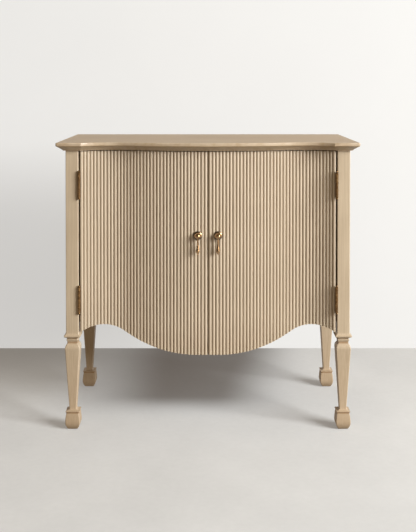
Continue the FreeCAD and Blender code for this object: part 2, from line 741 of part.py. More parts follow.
def make_door_core():
    """Bent right-hand panel behind the reeds."""
    points = core_front_points()
    edges = [line(a, b) for a, b in zip(points, points[1:])]
    back = half_front(CORE_BACK, DOOR_INNER_X, DOOR_OUTER_X)
    edges.append(line(points[-1], V(DOOR_OUTER_X, scoop_y(CORE_BACK, DOOR_OUTER_X), 0)))
    edges += back
    edges.append(line(V(DOOR_INNER_X, bow_y(CORE_BACK, DOOR_INNER_X), 0), points[0]))
    panel = Part.Face(Part.Wire(Part.__sortEdges__(edges))).extrude(V(0, 0, DOOR_TOP_Z))
    holes = [screw_hole(HINGE_SCREW, point, V(-1, 0, 0)) for point in door_screw_points()]
    holes.append(screw_hole(STRIKE_SCREW, strike_screw_point(), V(0, -1, 0)))
    return one_solid(panel.cut([below_scallop(), pull_bolt_hole()] + holes))


def make_door_reeds():
    """Right-hand reeds, from the meeting edge to the hinge edge."""
    points = core_front_points()
    away = [below_scallop(), pull_bolt_hole()]
    reeds = []
    for a, b in zip(points, points[1:]):
        along = (b - a).normalize()
        outwards = V(along.y, -along.x, 0)
        left = a + along * (REED_QUIRK / 2)
        right = b - along * (REED_QUIRK / 2)
        crest = (a + b) * 0.5 + outwards * REED_HEIGHT
        reeds.append(solid_of([line(left, right), arc(right, crest, left)], V(0, 0, DOOR_TOP_Z)).cut(away))
    return reeds


# Hinges, for the right door


def leaf_screw_zs():
    return [centre + step * LEAF_SCREW_PITCH for centre in HINGE_Z.values() for step in (-1, 0, 1)]


def frame_screw_points():
    return [V(LEG_INNER_X - LEAF_THICKNESS, LEAF_SCREW_Y, z) for z in leaf_screw_zs()]


def door_screw_points():
    return [V(DOOR_OUTER_X + LEAF_THICKNESS, LEAF_SCREW_Y, z) for z in leaf_screw_zs()]


def knuckle(radius, centre_z, index, gap):
    pitch = LEAF_LENGTH / KNUCKLE_COUNT
    base = centre_z - LEAF_LENGTH / 2 + index * pitch
    return pin(radius, V(HINGE_X, HINGE_Y, base + gap / 2), V(0, 0, 1), pitch - gap)


def make_leaf(centre_z, plate_x, own, bore_radius, holes):
    """A plate with its own knuckles, cut clear of the other leaf's knuckles."""
    half = LEAF_LENGTH / 2
    plate = box(plate_x, plate_x + LEAF_THICKNESS, HINGE_Y, LEAF_BACK_Y, centre_z - half, centre_z + half)
    others = [i for i in range(KNUCKLE_COUNT) if i not in own]
    reliefs = [knuckle(BARREL_RADIUS + BARREL_CLEARANCE, centre_z, i, -KNUCKLE_GAP) for i in others]
    barrel = [knuckle(BARREL_RADIUS, centre_z, i, KNUCKLE_GAP) for i in own]
    bore = pin(bore_radius, V(HINGE_X, HINGE_Y, centre_z - LEAF_LENGTH), V(0, 0, 1), 2 * LEAF_LENGTH)
    return one_solid(plate.cut(reliefs).fuse(barrel).cut([bore] + holes))


def make_frame_leaf(centre_z):
    own = range(0, KNUCKLE_COUNT, 2)
    holes = [screw_hole(HINGE_SCREW, point, V(1, 0, 0)) for point in frame_screw_points()]
    return make_leaf(centre_z, LEG_INNER_X - LEAF_THICKNESS, own, HINGE_PIN_RADIUS + FIT_CLEARANCE, holes)


def make_door_leaf(centre_z):
    own = range(1, KNUCKLE_COUNT, 2)
    holes = [screw_hole(HINGE_SCREW, point, V(-1, 0, 0)) for point in door_screw_points()]
    return make_leaf(centre_z, DOOR_OUTER_X, own, HINGE_PIN_RADIUS + RUNNING_CLEARANCE, holes)


def make_hinge_pin(centre_z):
    """Pin with a ball at each end, the balls resting on the end knuckles."""
    half = LEAF_LENGTH / 2
    neck = math.sqrt(HINGE_BALL_RADIUS**2 - HINGE_PIN_RADIUS**2)
    ball = half + neck
    return turned(
        [
            (0, -ball - HINGE_BALL_RADIUS),
            (HINGE_BALL_RADIUS, -ball, HINGE_PIN_RADIUS, -half),
            (HINGE_PIN_RADIUS, half),
            (HINGE_BALL_RADIUS, ball, 0, ball + HINGE_BALL_RADIUS),
        ],
        V(HINGE_X, HINGE_Y, centre_z),
        V(0, 0, 1),
    )


# Drop pull, for the right door


def make_rosette():
    """Domed rosette with a slotted ball in front, in which the drop hangs."""
    neck_height = PULL_BALL_CENTRE - math.sqrt(PULL_BALL_RADIUS**2 - ROSETTE_NECK_RADIUS**2)
    rim = (ROSETTE_RADIUS, ROSETTE_RIM)
    turning = turned(
        [
            (0, 0),
            (ROSETTE_RADIUS, 0),
            rim,
            bowed(rim, (ROSETTE_NECK_RADIUS, ROSETTE_DOME), ROSETTE_BULGE),
            (ROSETTE_NECK_RADIUS, neck_height),
            (PULL_BALL_RADIUS, PULL_BALL_CENTRE, 0, PULL_BALL_CENTRE + PULL_BALL_RADIUS),
        ],
        V(PULL_X, BOW_Y, PULL_Z),
        V(0, -1, 0),
    )
    reach = EYE_RADIUS + EYE_CLEARANCE
    half_slot = EYE_THICKNESS / 2 + EYE_CLEARANCE
    ball = PULL_BALL_RADIUS + HOLE_MOUTH
    slot = box(PULL_X - half_slot, PULL_X + half_slot, PULL_Y - ball, PULL_Y + reach, PULL_Z - ball, PULL_Z + reach)
    pivot = pin(PIVOT_RADIUS + FIT_CLEARANCE, V(PULL_X - ball, PULL_Y, PULL_Z), V(1, 0, 0), 2 * ball)
    tapped = pin(
        PULL_BOLT_RADIUS + FIT_CLEARANCE,
        V(PULL_X, BOW_Y, PULL_Z),
        V(0, -1, 0),
        PULL_BOLT_IN_ROSETTE + FIT_CLEARANCE,
    )
    return one_solid(turning.cut([slot, pivot, tapped]))


def make_drop():
    """Teardrop on a stem, with a flat eye on the pivot."""
    clear = PULL_BALL_RADIUS + EYE_CLEARANCE
    stem_top = (DROP_STEM_RADIUS, clear)
    stem_end = (DROP_STEM_RADIUS, clear + DROP_STEM_LENGTH)
    bulb = (DROP_BULB_RADIUS, DROP_LENGTH - DROP_BULB_ABOVE_TIP)
    tip = DROP_LENGTH - DROP_TIP_RADIUS
    tip_join = DROP_TIP_RADIUS * math.sqrt(0.5)
    body = turned(
        [
            (0, clear),
            stem_top,
            bowed(stem_top, stem_end, -DROP_STEM_HOLLOW),
            bulb,
            bowed(bulb, (tip_join, tip - tip_join), DROP_BULB_BULGE),
            (DROP_TIP_RADIUS, tip, 0, DROP_LENGTH),
        ],
        V(PULL_X, PULL_Y, PULL_Z),
        V(0, 0, -1),
    )
    half = EYE_THICKNESS / 2
    eye = pin(EYE_RADIUS, V(PULL_X - half, PULL_Y, PULL_Z), V(1, 0, 0), EYE_THICKNESS)
    tab = box(
        PULL_X - half,
        PULL_X + half,
        PULL_Y - EYE_TAB_HALF,
        PULL_Y + EYE_TAB_HALF,
        PULL_Z - clear,
        PULL_Z,
    )
    hole = pin(PIVOT_RADIUS + RUNNING_CLEARANCE, V(PULL_X - EYE_THICKNESS, PULL_Y, PULL_Z), V(1, 0, 0), 2 * EYE_THICKNESS)
    return one_solid(body.fuse([eye, tab]).cut(hole))


def make_pivot():
    half = math.sqrt(PULL_BALL_RADIUS**2 - PIVOT_RADIUS**2)
    return pin(PIVOT_RADIUS, V(PULL_X - half, PULL_Y, PULL_Z), V(1, 0, 0), 2 * half)


def make_pull_bolt():
    """Machine screw from inside the door into the rosette; its head seats on the core's back face."""
    seat = bow_y(CORE_BACK, PULL_X + PULL_BOLT_HEAD_RADIUS)
    length = seat - BOW_Y + PULL_BOLT_IN_ROSETTE
    return turned(
        [
            (0, -PULL_BOLT_HEAD_HEIGHT),
            (PULL_BOLT_HEAD_RADIUS - PULL_BOLT_CHAMFER, -PULL_BOLT_HEAD_HEIGHT),
            (PULL_BOLT_HEAD_RADIUS, PULL_BOLT_CHAMFER - PULL_BOLT_HEAD_HEIGHT),
            (PULL_BOLT_HEAD_RADIUS, 0),
            (PULL_BOLT_RADIUS, 0),
            (PULL_BOLT_RADIUS, length),
            (0, length),
        ],
        V(PULL_X, seat, PULL_Z),
        V(0, -1, 0),
    )


# Magnetic catch under the sub top, and a strike plate on each door


def strike_seat_y():
    return bow_y(CORE_BACK, STRIKE_X + STRIKE_WIDTH / 2)


def strike_centre_z():
    return SUB_TOP_Z - CATCH_HEIGHT / 2


def strike_screw_point():
    return V(STRIKE_X, strike_seat_y() + STRIKE_THICKNESS, strike_centre_z())


def catch_front_y():
    return strike_seat_y() + STRIKE_THICKNESS + CATCH_GAP


def catch_screw_points():
    z = SUB_TOP_Z - CATCH_HEIGHT
    y = catch_front_y() + CATCH_DEPTH / 2
    return [V(-CATCH_SCREW_X, y, z), V(CATCH_SCREW_X, y, z)]


def make_strike_plate():
    half_width = STRIKE_WIDTH / 2
    half_height = STRIKE_HEIGHT / 2
    y = strike_seat_y()
    z = strike_centre_z()
    plate = box(
        STRIKE_X - half_width,
        STRIKE_X + half_width,
        y,
        y + STRIKE_THICKNESS,
        z - half_height,
        z + half_height,
    )
    return plate.cut(screw_hole(STRIKE_SCREW, strike_screw_point(), V(0, -1, 0)))


def make_catch():
    y = catch_front_y()
    body = box(-CATCH_WIDTH / 2, CATCH_WIDTH / 2, y, y + CATCH_DEPTH, SUB_TOP_Z - CATCH_HEIGHT, SUB_TOP_Z)
    return body.cut([screw_hole(CATCH_SCREW, point, V(0, 0, 1)) for point in catch_screw_points()])


# All the pieces, by node name


def carcass_nodes():
    front_leg = make_front_leg()
    back_leg = make_back_leg()
    side = make_side_panel()
    pins = [make_shelf_pin(y) for y in SHELF_PIN_YS]
    dowels = []
    for board_z in BOARDS:
        dowels += [
            pin(DOWEL_RADIUS, start, V(1, 0, 0), DOWEL_IN_BOARD + DOWEL_IN_SIDE) for start in dowel_starts(board_z)
        ]
    back_points = [point for board_z in BOARDS for point in back_screw_points(board_z)]
    glides = [make_glide(LEG_X, y) for y in (LEG_FRONT_Y, LEG_BACK_Y)]
    return {
        "top": make_top(),
        "sub_top": make_sub_top(),
        "bottom_board": make_bottom_board(),
        "back_panel": make_back_panel(),
        "right_side_panel": side,
        "left_side_panel": mirrored(side),
        "front_right_leg": front_leg,
        "front_left_leg": mirrored(front_leg),
        "back_right_leg": back_leg,
        "back_left_leg": mirrored(back_leg),
        "shelf": make_shelf(),
        "shelf_pins": Part.makeCompound(both_sides(pins)),
        "board_dowels": Part.makeCompound(both_sides(dowels)),
        "corner_blocks": Part.makeCompound(both_sides(make_corner_blocks())),
        "floor_glides": Part.makeCompound(both_sides(glides)),
        "top_screws": Part.makeCompound([screw(TOP_SCREW, p, V(0, 0, 1)) for p in top_screw_points()]),
        "back_panel_screws": Part.makeCompound([screw(BACK_SCREW, p, V(0, -1, 0)) for p in back_points]),
        "magnetic_catch": make_catch(),
        "catch_screws": Part.makeCompound([screw(CATCH_SCREW, p, V(0, 0, 1)) for p in catch_screw_points()]),
    }


def door_nodes():
    """Pieces of the right door, by name without the side."""
    return {
        "door_core": make_door_core(),
        "door_reeds": Part.makeCompound(make_door_reeds()),
        "door_hinge_screws": Part.makeCompound([screw(HINGE_SCREW, p, V(-1, 0, 0)) for p in door_screw_points()]),
        "strike_plate": make_strike_plate(),
        "strike_screw": screw(STRIKE_SCREW, strike_screw_point(), V(0, -1, 0)),
        "pull_rosette": make_rosette(),
        "pull_drop": make_drop(),
        "pull_pivot": make_pivot(),
        "pull_bolt": make_pull_bolt(),
    }


def hinge_nodes():
    """Leaves and pins of the right-hand hinges, by name without the side."""
    nodes = {}
    for place, centre_z in HINGE_Z.items():
        nodes[place + "_hinge_frame_leaf"] = make_frame_leaf(centre_z)
        nodes[place + "_hinge_door_leaf"] = make_door_leaf(centre_z)
        nodes[place + "_hinge_pin"] = make_hinge_pin(centre_z)
    return nodes


def main():
    nodes = carcass_nodes()
    for name, shape in {**door_nodes(), **hinge_nodes()}.items():
        nodes["right_" + name] = shape
        nodes["left_" + name] = mirrored(shape)
    frame_screws = [screw(HINGE_SCREW, point, V(1, 0, 0)) for point in frame_screw_points()]
    nodes["hinge_frame_screws"] = Part.makeCompound(both_sides(frame_screws))

    os.makedirs("parts", exist_ok=True)
    for name, shape in nodes.items():
        shape.translate(V(0, -ORIGIN_Y, 0))
        shape.exportStep("parts/" + name + ".step")
        valid = shape.isValid()
        print(f"{name:32s} {len(shape.Solids):3d} solids {shape.Volume / 1000:10.2f} cm3 valid {valid}")
    print("nodes", len(nodes))
    print("front faces of the legs at Y", round(-ORIGIN_Y, 3))
    print("hinge axes at X", round(HINGE_X, 3), "Y", round(HINGE_Y - ORIGIN_Y, 3))
    print("pull pivots at X", PULL_X, "Y", round(PULL_Y - ORIGIN_Y, 3), "Z", PULL_Z)
    print("bow radius", round(BOW_RADIUS, 1), "bow proud of the legs", round(-BOW_Y, 2))
    print("peak of the scallop at Z", round(SCALLOP_PEAK_Z, 2), "bottom board at Z", round(BOTTOM_Z, 2))


main()
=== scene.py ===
# %% [markdown]
# # A hall chest with a serpentine, reeded front
# The chest was drawn first as solid pieces: boards, legs, doors, hinges and pulls. This lesson gives those
# pieces their looks. The solids come in as a fixed frame, so nothing here has to be placed by eye: each new
# surface is worked out from the same sizes, takes the place of one solid, and moves with that solid's body.

# %% Load the solids
import json
import math

import bpy
import numpy as np
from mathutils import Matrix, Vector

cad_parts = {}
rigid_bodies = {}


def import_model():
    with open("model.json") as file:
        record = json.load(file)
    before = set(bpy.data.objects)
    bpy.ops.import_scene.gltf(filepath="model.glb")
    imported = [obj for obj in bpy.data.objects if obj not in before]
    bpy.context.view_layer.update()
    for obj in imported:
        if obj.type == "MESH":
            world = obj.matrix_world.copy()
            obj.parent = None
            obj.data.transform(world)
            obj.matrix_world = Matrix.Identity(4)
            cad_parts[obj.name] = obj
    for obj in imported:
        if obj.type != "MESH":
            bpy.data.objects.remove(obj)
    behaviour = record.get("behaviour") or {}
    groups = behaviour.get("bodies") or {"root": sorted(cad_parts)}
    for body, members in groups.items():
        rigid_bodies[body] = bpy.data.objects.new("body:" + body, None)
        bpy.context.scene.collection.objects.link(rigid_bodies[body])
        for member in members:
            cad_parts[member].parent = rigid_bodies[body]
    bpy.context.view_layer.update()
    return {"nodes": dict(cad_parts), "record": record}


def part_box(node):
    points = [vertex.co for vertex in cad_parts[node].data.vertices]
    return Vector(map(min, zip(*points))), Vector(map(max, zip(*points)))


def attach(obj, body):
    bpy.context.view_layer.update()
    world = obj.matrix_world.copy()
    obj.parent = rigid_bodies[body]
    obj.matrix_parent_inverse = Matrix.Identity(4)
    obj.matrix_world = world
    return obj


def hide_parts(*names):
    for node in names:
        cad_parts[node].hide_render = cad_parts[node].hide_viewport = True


for leftover in list(bpy.data.objects):
    bpy.data.objects.remove(leftover)
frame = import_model()

# %% [markdown]
# ## From numbers to a mesh
# Every new piece is a grid of points: columns go round the piece and rows go up it. Blender could build it
# with its own tools, one click at a time. Worked out as arrays, the shape is a formula, and a change of one
# size changes the whole surface. Sizes are in millimetres, as on a workshop drawing, and become metres last.

# %% Skins on grids of points
MM = 0.001


def skin(points, ends="strip"):
    """Closed surface on grids of points, as an array (grid, row, column, xyz) or (row, column, xyz).

    Each quad joins a point to its right and upper neighbours, and the last column meets the first.
    The ends are closed by a strip of quads from each column to its partner across the ring ("strip"),
    or by one flat face ("flat").
    """
    points = points.reshape((-1,) + points.shape[-3:])
    count, rows, columns = points.shape[:3]
    row, column = np.meshgrid(np.arange(rows - 1), np.arange(columns), indexing="ij")
    up, right = row + 1, (column + 1) % columns
    corners = [row * columns + column, row * columns + right, up * columns + right, up * columns + column]
    faces = [np.stack(corners, -1).reshape(-1, 4)]
    top = (rows - 1) * columns
    if ends == "strip":
        j = np.arange(columns // 2 - 1)
        across = np.stack([j + 1, j, columns - 1 - j, columns - 2 - j], -1)
        faces += [across, top + across[:, ::-1]]
    if ends == "flat":
        ring = np.arange(columns)[None]
        faces += [ring[:, ::-1], top + ring]
    starts = rows * columns * np.arange(count)[:, None, None]
    blocks = [(block + starts).reshape(-1, block.shape[1]).tolist() for block in faces]
    return points.reshape(-1, 3), [face for block in blocks for face in block]


def mirrored(shape):
    """The same skin on the other side of the chest: x changes sign, and each face is turned round."""
    points, faces = shape
    return points * (-1, 1, 1), [face[::-1] for face in faces]


print("faces of a skin with 3 rows of 8 points:", len(skin(np.zeros((3, 8, 3)))[1]))

# %% [markdown]
# ## Pieces that belong to the frame
# A piece needs more than a mesh: the body that it moves with, the finish it takes, and the solid that it
# stands for. One function does all of that, and measures the volume that the skin encloses. A volume below
# zero would mean a skin turned inside out.

# %% Make a piece
SHARP_ANGLE = math.radians(30)
LITRES = 1000                  # in a cubic metre


def enclosed_litres(mesh):
    """Sum, over the triangles, of the wedge from the origin to each one: a sixth of a dot (b cross c)."""
    mesh.calc_loop_triangles()
    corners = np.empty(3 * len(mesh.loop_triangles), np.int32)
    mesh.loop_triangles.foreach_get("vertices", corners)
    points = np.empty(3 * len(mesh.vertices))
    mesh.vertices.foreach_get("co", points)
    a, b, c = np.moveaxis(points.reshape(-1, 3)[corners.reshape(-1, 3)], 1, 0)
    return LITRES * np.einsum("ij,ij->i", a, np.cross(b, c)).sum() / 6


def make_piece(name, shape, finish, body, nodes, marks):
    """A smooth-shaded piece with crisp edges; marks are numbers per point that a finish can read."""
    points, faces = shape
    mesh = bpy.data.meshes.new(name)
    mesh.from_pydata((points * MM).tolist(), [], faces)
    mesh.polygons.foreach_set("use_smooth", np.ones(len(mesh.polygons), bool))
    mesh.set_sharp_from_angle(angle=SHARP_ANGLE)
    for mark, values in marks.items():
        numbers = mesh.attributes.new(mark, "FLOAT", "POINT").data
        numbers.foreach_set("value", np.asarray(values, np.float32).ravel())
    mesh.materials.append(finish)
    piece = bpy.data.objects.new(name, mesh)
    bpy.context.scene.collection.objects.link(piece)
    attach(piece, body)
    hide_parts(*nodes)
    print(f"{name}: {len(mesh.polygons)} faces, {enclosed_litres(mesh):.3f} litres")
    return piece


print("edges stay crisp from", round(math.degrees(SHARP_ANGLE)), "degrees")

# %% [markdown]
# ## Finishes as sums
# In the shader editor, a sum of two noises is three boxes and two wires. It is easier to read as arithmetic.
# So a small class wraps a socket, and adding or multiplying two values adds the Math node that does it.

# %% Sockets that can be added up
class Value:
    """A socket of a finish; each operator adds one Math node."""

    def __init__(self, finish, socket):
        self.finish = finish
        self.socket = socket

    def maths(self, operation, first, second):
        """Two values joined by one Math node."""
        return self.finish.node("ShaderNodeMath", {"operation": operation}, {0: first, 1: second})

    def __add__(self, other):
        return self.maths("ADD", self, other)

    def __radd__(self, other):
        return self.maths("ADD", other, self)

    def __sub__(self, other):
        return self.maths("SUBTRACT", self, other)

    def __rsub__(self, other):
        return self.maths("SUBTRACT", other, self)

    def __mul__(self, other):
        return self.maths("MULTIPLY", self, other)

    def __rmul__(self, other):
        return self.maths("MULTIPLY", other, self)

    def between(self, low, high):
        """0 below low, 1 above high, and an even rise between them."""
        sockets = {"Value": self, "From Min": low, "From Max": high}
        return self.finish.node("ShaderNodeMapRange", {"clamp": True}, sockets)


print("operators:", [name for name in vars(Value) if name.endswith(("add__", "sub__", "mul__"))])

# %% [markdown]
# ## A finish, node by node
# Every other node comes from one method, which takes the node's type, its settings and its sockets. The
# other methods are the few patterns that all the finishes share: noise over the wood or metal, marks that a
# piece carries, a bump, and the shader at the end.

# %% Finishes
class Finish:
    """A material, or a world, that is built node by node."""

    def __init__(self, owner):
        self.owner = owner
        owner.use_nodes = True
        self.tree = owner.node_tree
        self.tree.nodes.clear()

    def node(self, kind, settings=None, inputs=None, output=0):
        """Adds a node: its settings are set first, then its sockets take values or links."""
        made = self.tree.nodes.new(kind)
        for key, setting in (settings or {}).items():
            setattr(made, key, setting)
        for key, value in (inputs or {}).items():
            if isinstance(value, Value):
                self.tree.links.new(value.socket, made.inputs[key])
            else:
                made.inputs[key].default_value = value
        return Value(self, made.outputs[output]) if made.outputs else None

    def mix(self, share, first, second):
        """A colour between two colours."""
        return self.node("ShaderNodeMix", {"data_type": "RGBA"}, {0: share, 6: first, 7: second}, 2)

    def point(self):
        """The point of the surface in the chest's own frame, in metres."""
        return self.node("ShaderNodeTexCoord", output="Object")

    def axes(self):
        """x, y and z of that point, each as a value."""
        point = self.point()
        return [self.node("ShaderNodeSeparateXYZ", inputs={0: point}, output=axis) for axis in "XYZ"]

    def noise(self, scale, detail, roughness=0.55):
        """Cloudy noise from 0 to 1; the scale, for each axis or for all, says how fine it is."""
        scale = scale if isinstance(scale, tuple) else (scale, scale, scale)
        place = self.node("ShaderNodeMapping", inputs={"Vector": self.point(), "Scale": scale})
        sockets = {"Vector": place, "Scale": 1.0, "Detail": detail, "Roughness": roughness}
        return self.node("ShaderNodeTexNoise", inputs=sockets)

    def mark(self, name):
        """A number that the piece carries on its points; 0 where it carries none."""
        return self.node("ShaderNodeAttribute", {"attribute_name": name}, output="Fac")

    def bump(self, height, strength, distance):
        """A normal that leans with the slope of a height; 1 stands for the distance, in metres."""
        sockets = {"Height": height, "Strength": strength, "Distance": distance}
        return self.node("ShaderNodeBump", inputs=sockets)

    def surface(self, **sockets):
        """Ends the finish with the Principled shader; underscores stand for spaces in a socket's name."""
        inputs = {key.replace("_", " "): value for key, value in sockets.items()}
        shader = self.node("ShaderNodeBsdfPrincipled", inputs=inputs)
        self.node("ShaderNodeOutputMaterial", inputs={"Surface": shader})
        return self.owner


def new_finish(name):
    """An empty material, ready for its nodes."""
    return Finish(bpy.data.materials.new(name))


print("finish tools ready")

# %% [markdown]
# ## Limed wood
# Liming rubs a pale wax or thin paint into open grain, then wipes it back. What is left is a warm beige
# with slightly paler pores that run with the grain, and a faint cloudiness from the wiping. Noise that is
# stretched along the grain gives the streaks and pores. A darker glazing colour paints shade into the
# quirks and recesses, the wood turns darker towards the floor, and edges turn paler from wear and, on the
# top, from painted light. All of these follow the shape, so each piece carries them as numbers on its
# points.

# %% Limed wood, with the grain up or across
POST_TONES = ((0.490, 0.392, 0.274, 1), (0.603, 0.495, 0.357, 1))
REED_TONES = ((0.520, 0.430, 0.320, 1), (0.575, 0.480, 0.362, 1))
# The top's tones are darker than the posts': painted shade on the top
TOP_SHADED_TONES = ((0.440, 0.320, 0.195, 1), (0.505, 0.377, 0.235, 1))
LIMED_PALE = (0.665, 0.565, 0.440, 1)
# Painted shade in what a piece marks as recesses, and the wood near the floor, turn towards this colour
DARKER_TONE = (0.310, 0.172, 0.074, 1)
# Edges marked for wear turn towards this paler colour; on the top's nose and undercut it is painted light
# too
PALE_WEAR_AND_LIGHT = (0.72, 0.61, 0.475, 1)
GRAIN_SCALES = {"upright": ((330, 330, 4), (1500, 1500, 30)), "across": ((4, 330, 330), (30, 1500, 1500))}
CLOUD_SCALE = 6
TONE_SPREAD = (0.38, 0.62)      # noise that gives the darker tone and the paler one
REED_TONE_SHARE = 0.04
OPEN_PORES = (0.56, 0.72)       # noise that gives closed wood and an open pore
PORE_LIME = 0.35
RUBBING_SCALE = 45
RUBBING_SPREAD = (0.3, 0.7)
EDGE_PALING = 0.45
EDGE_WAX = 0.8
WAX_ROUGHNESS = 0.22
SHADE_AND_FLOOR_SHARE = 0.5
# The wood turns darker towards the floor by this share, up to the height below
DARKER_NEAR_FLOOR = 0.75
DARKER_NEAR_FLOOR_REACH = 0.32         # metres above the floor
WOOD_ROUGHNESS = 0.46
GRAIN_DEPTH = 0.0003            # metres


def limed_wood(name, grain, tones, sheen, relief, gloss):
    """Limed wood between two tones, by three parts of streaks along the grain and two parts of cloud.

    Pores take lime, and edges turn pale under wax, from wear and, where a piece marks it, painted light.
    A glazing colour paints shade into recesses, and the wood is darker near the floor. Sheen lowers the
    roughness, relief is the strength of the grain, and gloss is the mirror's level.
    """
    wood = new_finish(name)
    streak_scale, pore_scale = GRAIN_SCALES[grain]
    streak = wood.noise(streak_scale, detail=4.0)
    pore = wood.noise(pore_scale, detail=2.0).between(*OPEN_PORES)
    cloud = wood.noise(CLOUD_SCALE, detail=3.0)
    tone = streak * 0.6 + cloud * 0.4 + wood.mark("tone") * REED_TONE_SHARE
    ground = wood.mix(tone.between(*TONE_SPREAD), *tones)
    limed = wood.mix(pore * PORE_LIME, ground, LIMED_PALE)
    # Paler where a piece marks wear, and on the top also painted light; a noise breaks it up
    rubbed = wood.mark("wear_and_painted_light") * wood.noise(RUBBING_SCALE, detail=4.0).between(*RUBBING_SPREAD)
    edged = wood.mix(rubbed * EDGE_PALING, limed, PALE_WEAR_AND_LIGHT)
    _, _, height = wood.axes()
    # 1 at the floor and 0 from the reach up: there the wood turns darker
    near_floor = 1 - height.between(0.0, DARKER_NEAR_FLOOR_REACH)
    # Painted shade where a piece marks recesses, clouded a little, plus the darkening near the floor
    shade_and_near_floor = wood.mark("painted_recess_shade") * (0.8 + cloud * 0.4) + near_floor * DARKER_NEAR_FLOOR
    colour = wood.mix((shade_and_near_floor * SHADE_AND_FLOOR_SHARE).between(0, 1), edged, DARKER_TONE)
    return wood.surface(
        Base_Color=colour,
        Roughness=WOOD_ROUGHNESS - sheen + streak * 0.14 - rubbed * 0.06 + shade_and_near_floor * 0.12,
        Normal=wood.bump(streak * 0.3 - pore * 0.7, relief, GRAIN_DEPTH),
        Specular_IOR_Level=gloss,
        Coat_Weight=wood.mark("wear_and_painted_light") * EDGE_WAX,
        Coat_Roughness=WAX_ROUGHNESS,
    )


limed_upright = limed_wood("limed_wood_upright", "upright", POST_TONES, sheen=0.06, relief=0.12, gloss=0.45)
limed_reeds = limed_wood("limed_wood_reeds", "upright", REED_TONES, sheen=0.12, relief=0.04, gloss=0.65)
limed_across = limed_wood("limed_wood_across", "across", TOP_SHADED_TONES, sheen=0.02, relief=0.08, gloss=0.65)
print("limed wood:", len(limed_upright.node_tree.nodes), "nodes")

# %% [markdown]
# ## Plain wood
# Inside, the boards are plain wood with a soft brown grain, and the dowels are pale beech. A picture of wood
# could be laid over them, but each board would need its own layout. Noise that is stretched along the grain
# fits every board as it lies.

# %% Plain wood
BOARD_TONES = ((0.30, 0.195, 0.105, 1), (0.47, 0.335, 0.205, 1))
BEECH_TONES = ((0.50, 0.35, 0.20, 1), (0.66, 0.50, 0.32, 1))
RING_SPREAD = (0.34, 0.66)      # noise that gives the darker brown and the paler one
FIBRE_FINENESS = 8              # fibres to one growth ring
PLANED_ROUGHNESS = 0.5
PLANED_RELIEF = 0.25
PLANED_DEPTH = 0.0004           # metres


def plain_wood(name, tones, scale):
    """Two browns, mixed by three parts of growth rings and one part of finer fibres."""
    wood = new_finish(name)
    rings = wood.noise(scale, detail=5.0, roughness=0.6)
    fibre = wood.noise(tuple(FIBRE_FINENESS * value for value in scale), detail=2.0)
    return wood.surface(
        Base_Color=wood.mix((rings * 0.75 + fibre * 0.25).between(*RING_SPREAD), *tones),
        Roughness=PLANED_ROUGHNESS + fibre * 0.2,
        Normal=wood.bump(rings * 0.6 + fibre * 0.4, PLANED_RELIEF, PLANED_DEPTH),
    )


inside_across = plain_wood("inside_wood_across", BOARD_TONES, (4, 90, 90))
dowel_beech = plain_wood("dowel_beech", BEECH_TONES, (6, 200, 200))
print("plain wood:", inside_across.name, "and", dowel_beech.name)

# %% [markdown]
# ## Aged brass
# The pulls and hinges are brass that has darkened with age. One dark colour would look like paint. Here the
# colour and the gloss wander together, because handling keeps some places bright, and soiling gathers where
# no hand rubs. The rosettes are painted darker round the rim and under the ball, as shade. Lacquer gives
# the pulls a second, clear shine.

# %% Brass, soiling and painted shade
BRASS_RUBBED = (0.62, 0.36, 0.15, 1)
BRASS_PATINA = (0.36, 0.19, 0.075, 1)
BRASS_DIRT_AND_SHADE = (0.045, 0.026, 0.014, 1)
PATINA_SCALE = 60
PATINA_SPREAD = (0.35, 0.68)    # noise that gives rubbed metal and full patina
FINE_SCALE = 900
GRIME_SCALE = 140
BRASS_ROUGHNESS = 0.20
LACQUER_ROUGHNESS = 0.20
TARNISH_RELIEF = 0.05
TARNISH_DEPTH = 0.0001          # metres
RIM_START = 0.68                # share of the rosette's radius
# Painted shade round the rim and under the ball of a rosette
RIM_SHADE = 0.8
UNDER_BALL = (-0.1, 0.6)        # shares of the rosette's radius, downwards from its axis
UNDER_BALL_SHADE = 0.9


def aged_brass(name, dirt_and_shade_of, lacquer):
    """Darkened brass under a share of lacquer, darker by soiling and, on rosettes, painted shade (0 to 1).
    """
    brass = new_finish(name)
    patina = brass.noise(PATINA_SCALE, detail=5.0, roughness=0.62).between(*PATINA_SPREAD)
    fine = brass.noise(FINE_SCALE, detail=3.0)
    # Soiling, and on the rosettes painted shade, from 0 to 1
    dirt_and_shade = dirt_and_shade_of(brass)
    rubbed = brass.mix(patina, BRASS_RUBBED, BRASS_PATINA)
    return brass.surface(
        Base_Color=brass.mix(dirt_and_shade, rubbed, BRASS_DIRT_AND_SHADE),
        Metallic=1.0,
        Roughness=BRASS_ROUGHNESS + patina * 0.05 + fine * 0.03 + dirt_and_shade * 0.06,
        Normal=brass.bump(fine, TARNISH_RELIEF, TARNISH_DEPTH),
        Coat_Weight=lacquer,
        Coat_Roughness=LACQUER_ROUGHNESS,
    )


def clouds_of_grime(film, more, spread):
    """A film of soiling all over, and more of it in clouds of noise."""
    return lambda brass: film + brass.noise(GRIME_SCALE, detail=4.0).between(*spread) * more


def rosette_painted_shade(brass):
    """Painted shade round the rim of a rosette and under its ball, by the distance from its axis and below
    it.

    The two are joined as 1 minus the product of what each of them leaves unshaded.
    """
    low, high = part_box("right_pull_rosette")
    axis_x, axis_z = (low.x + high.x) / 2, (low.z + high.z) / 2
    reach = (high.x - low.x) / 2
    x, _, z = brass.axes()
    across = brass.node("ShaderNodeMath", {"operation": "ABSOLUTE"}, {0: x}) - axis_x
    below = axis_z - z
    rim = (across * across + below * below).between((RIM_START * reach) ** 2, reach**2)
    under = below.between(*(share * reach for share in UNDER_BALL))
    return 1 - (1 - rim * RIM_SHADE) * (1 - under * UNDER_BALL_SHADE)


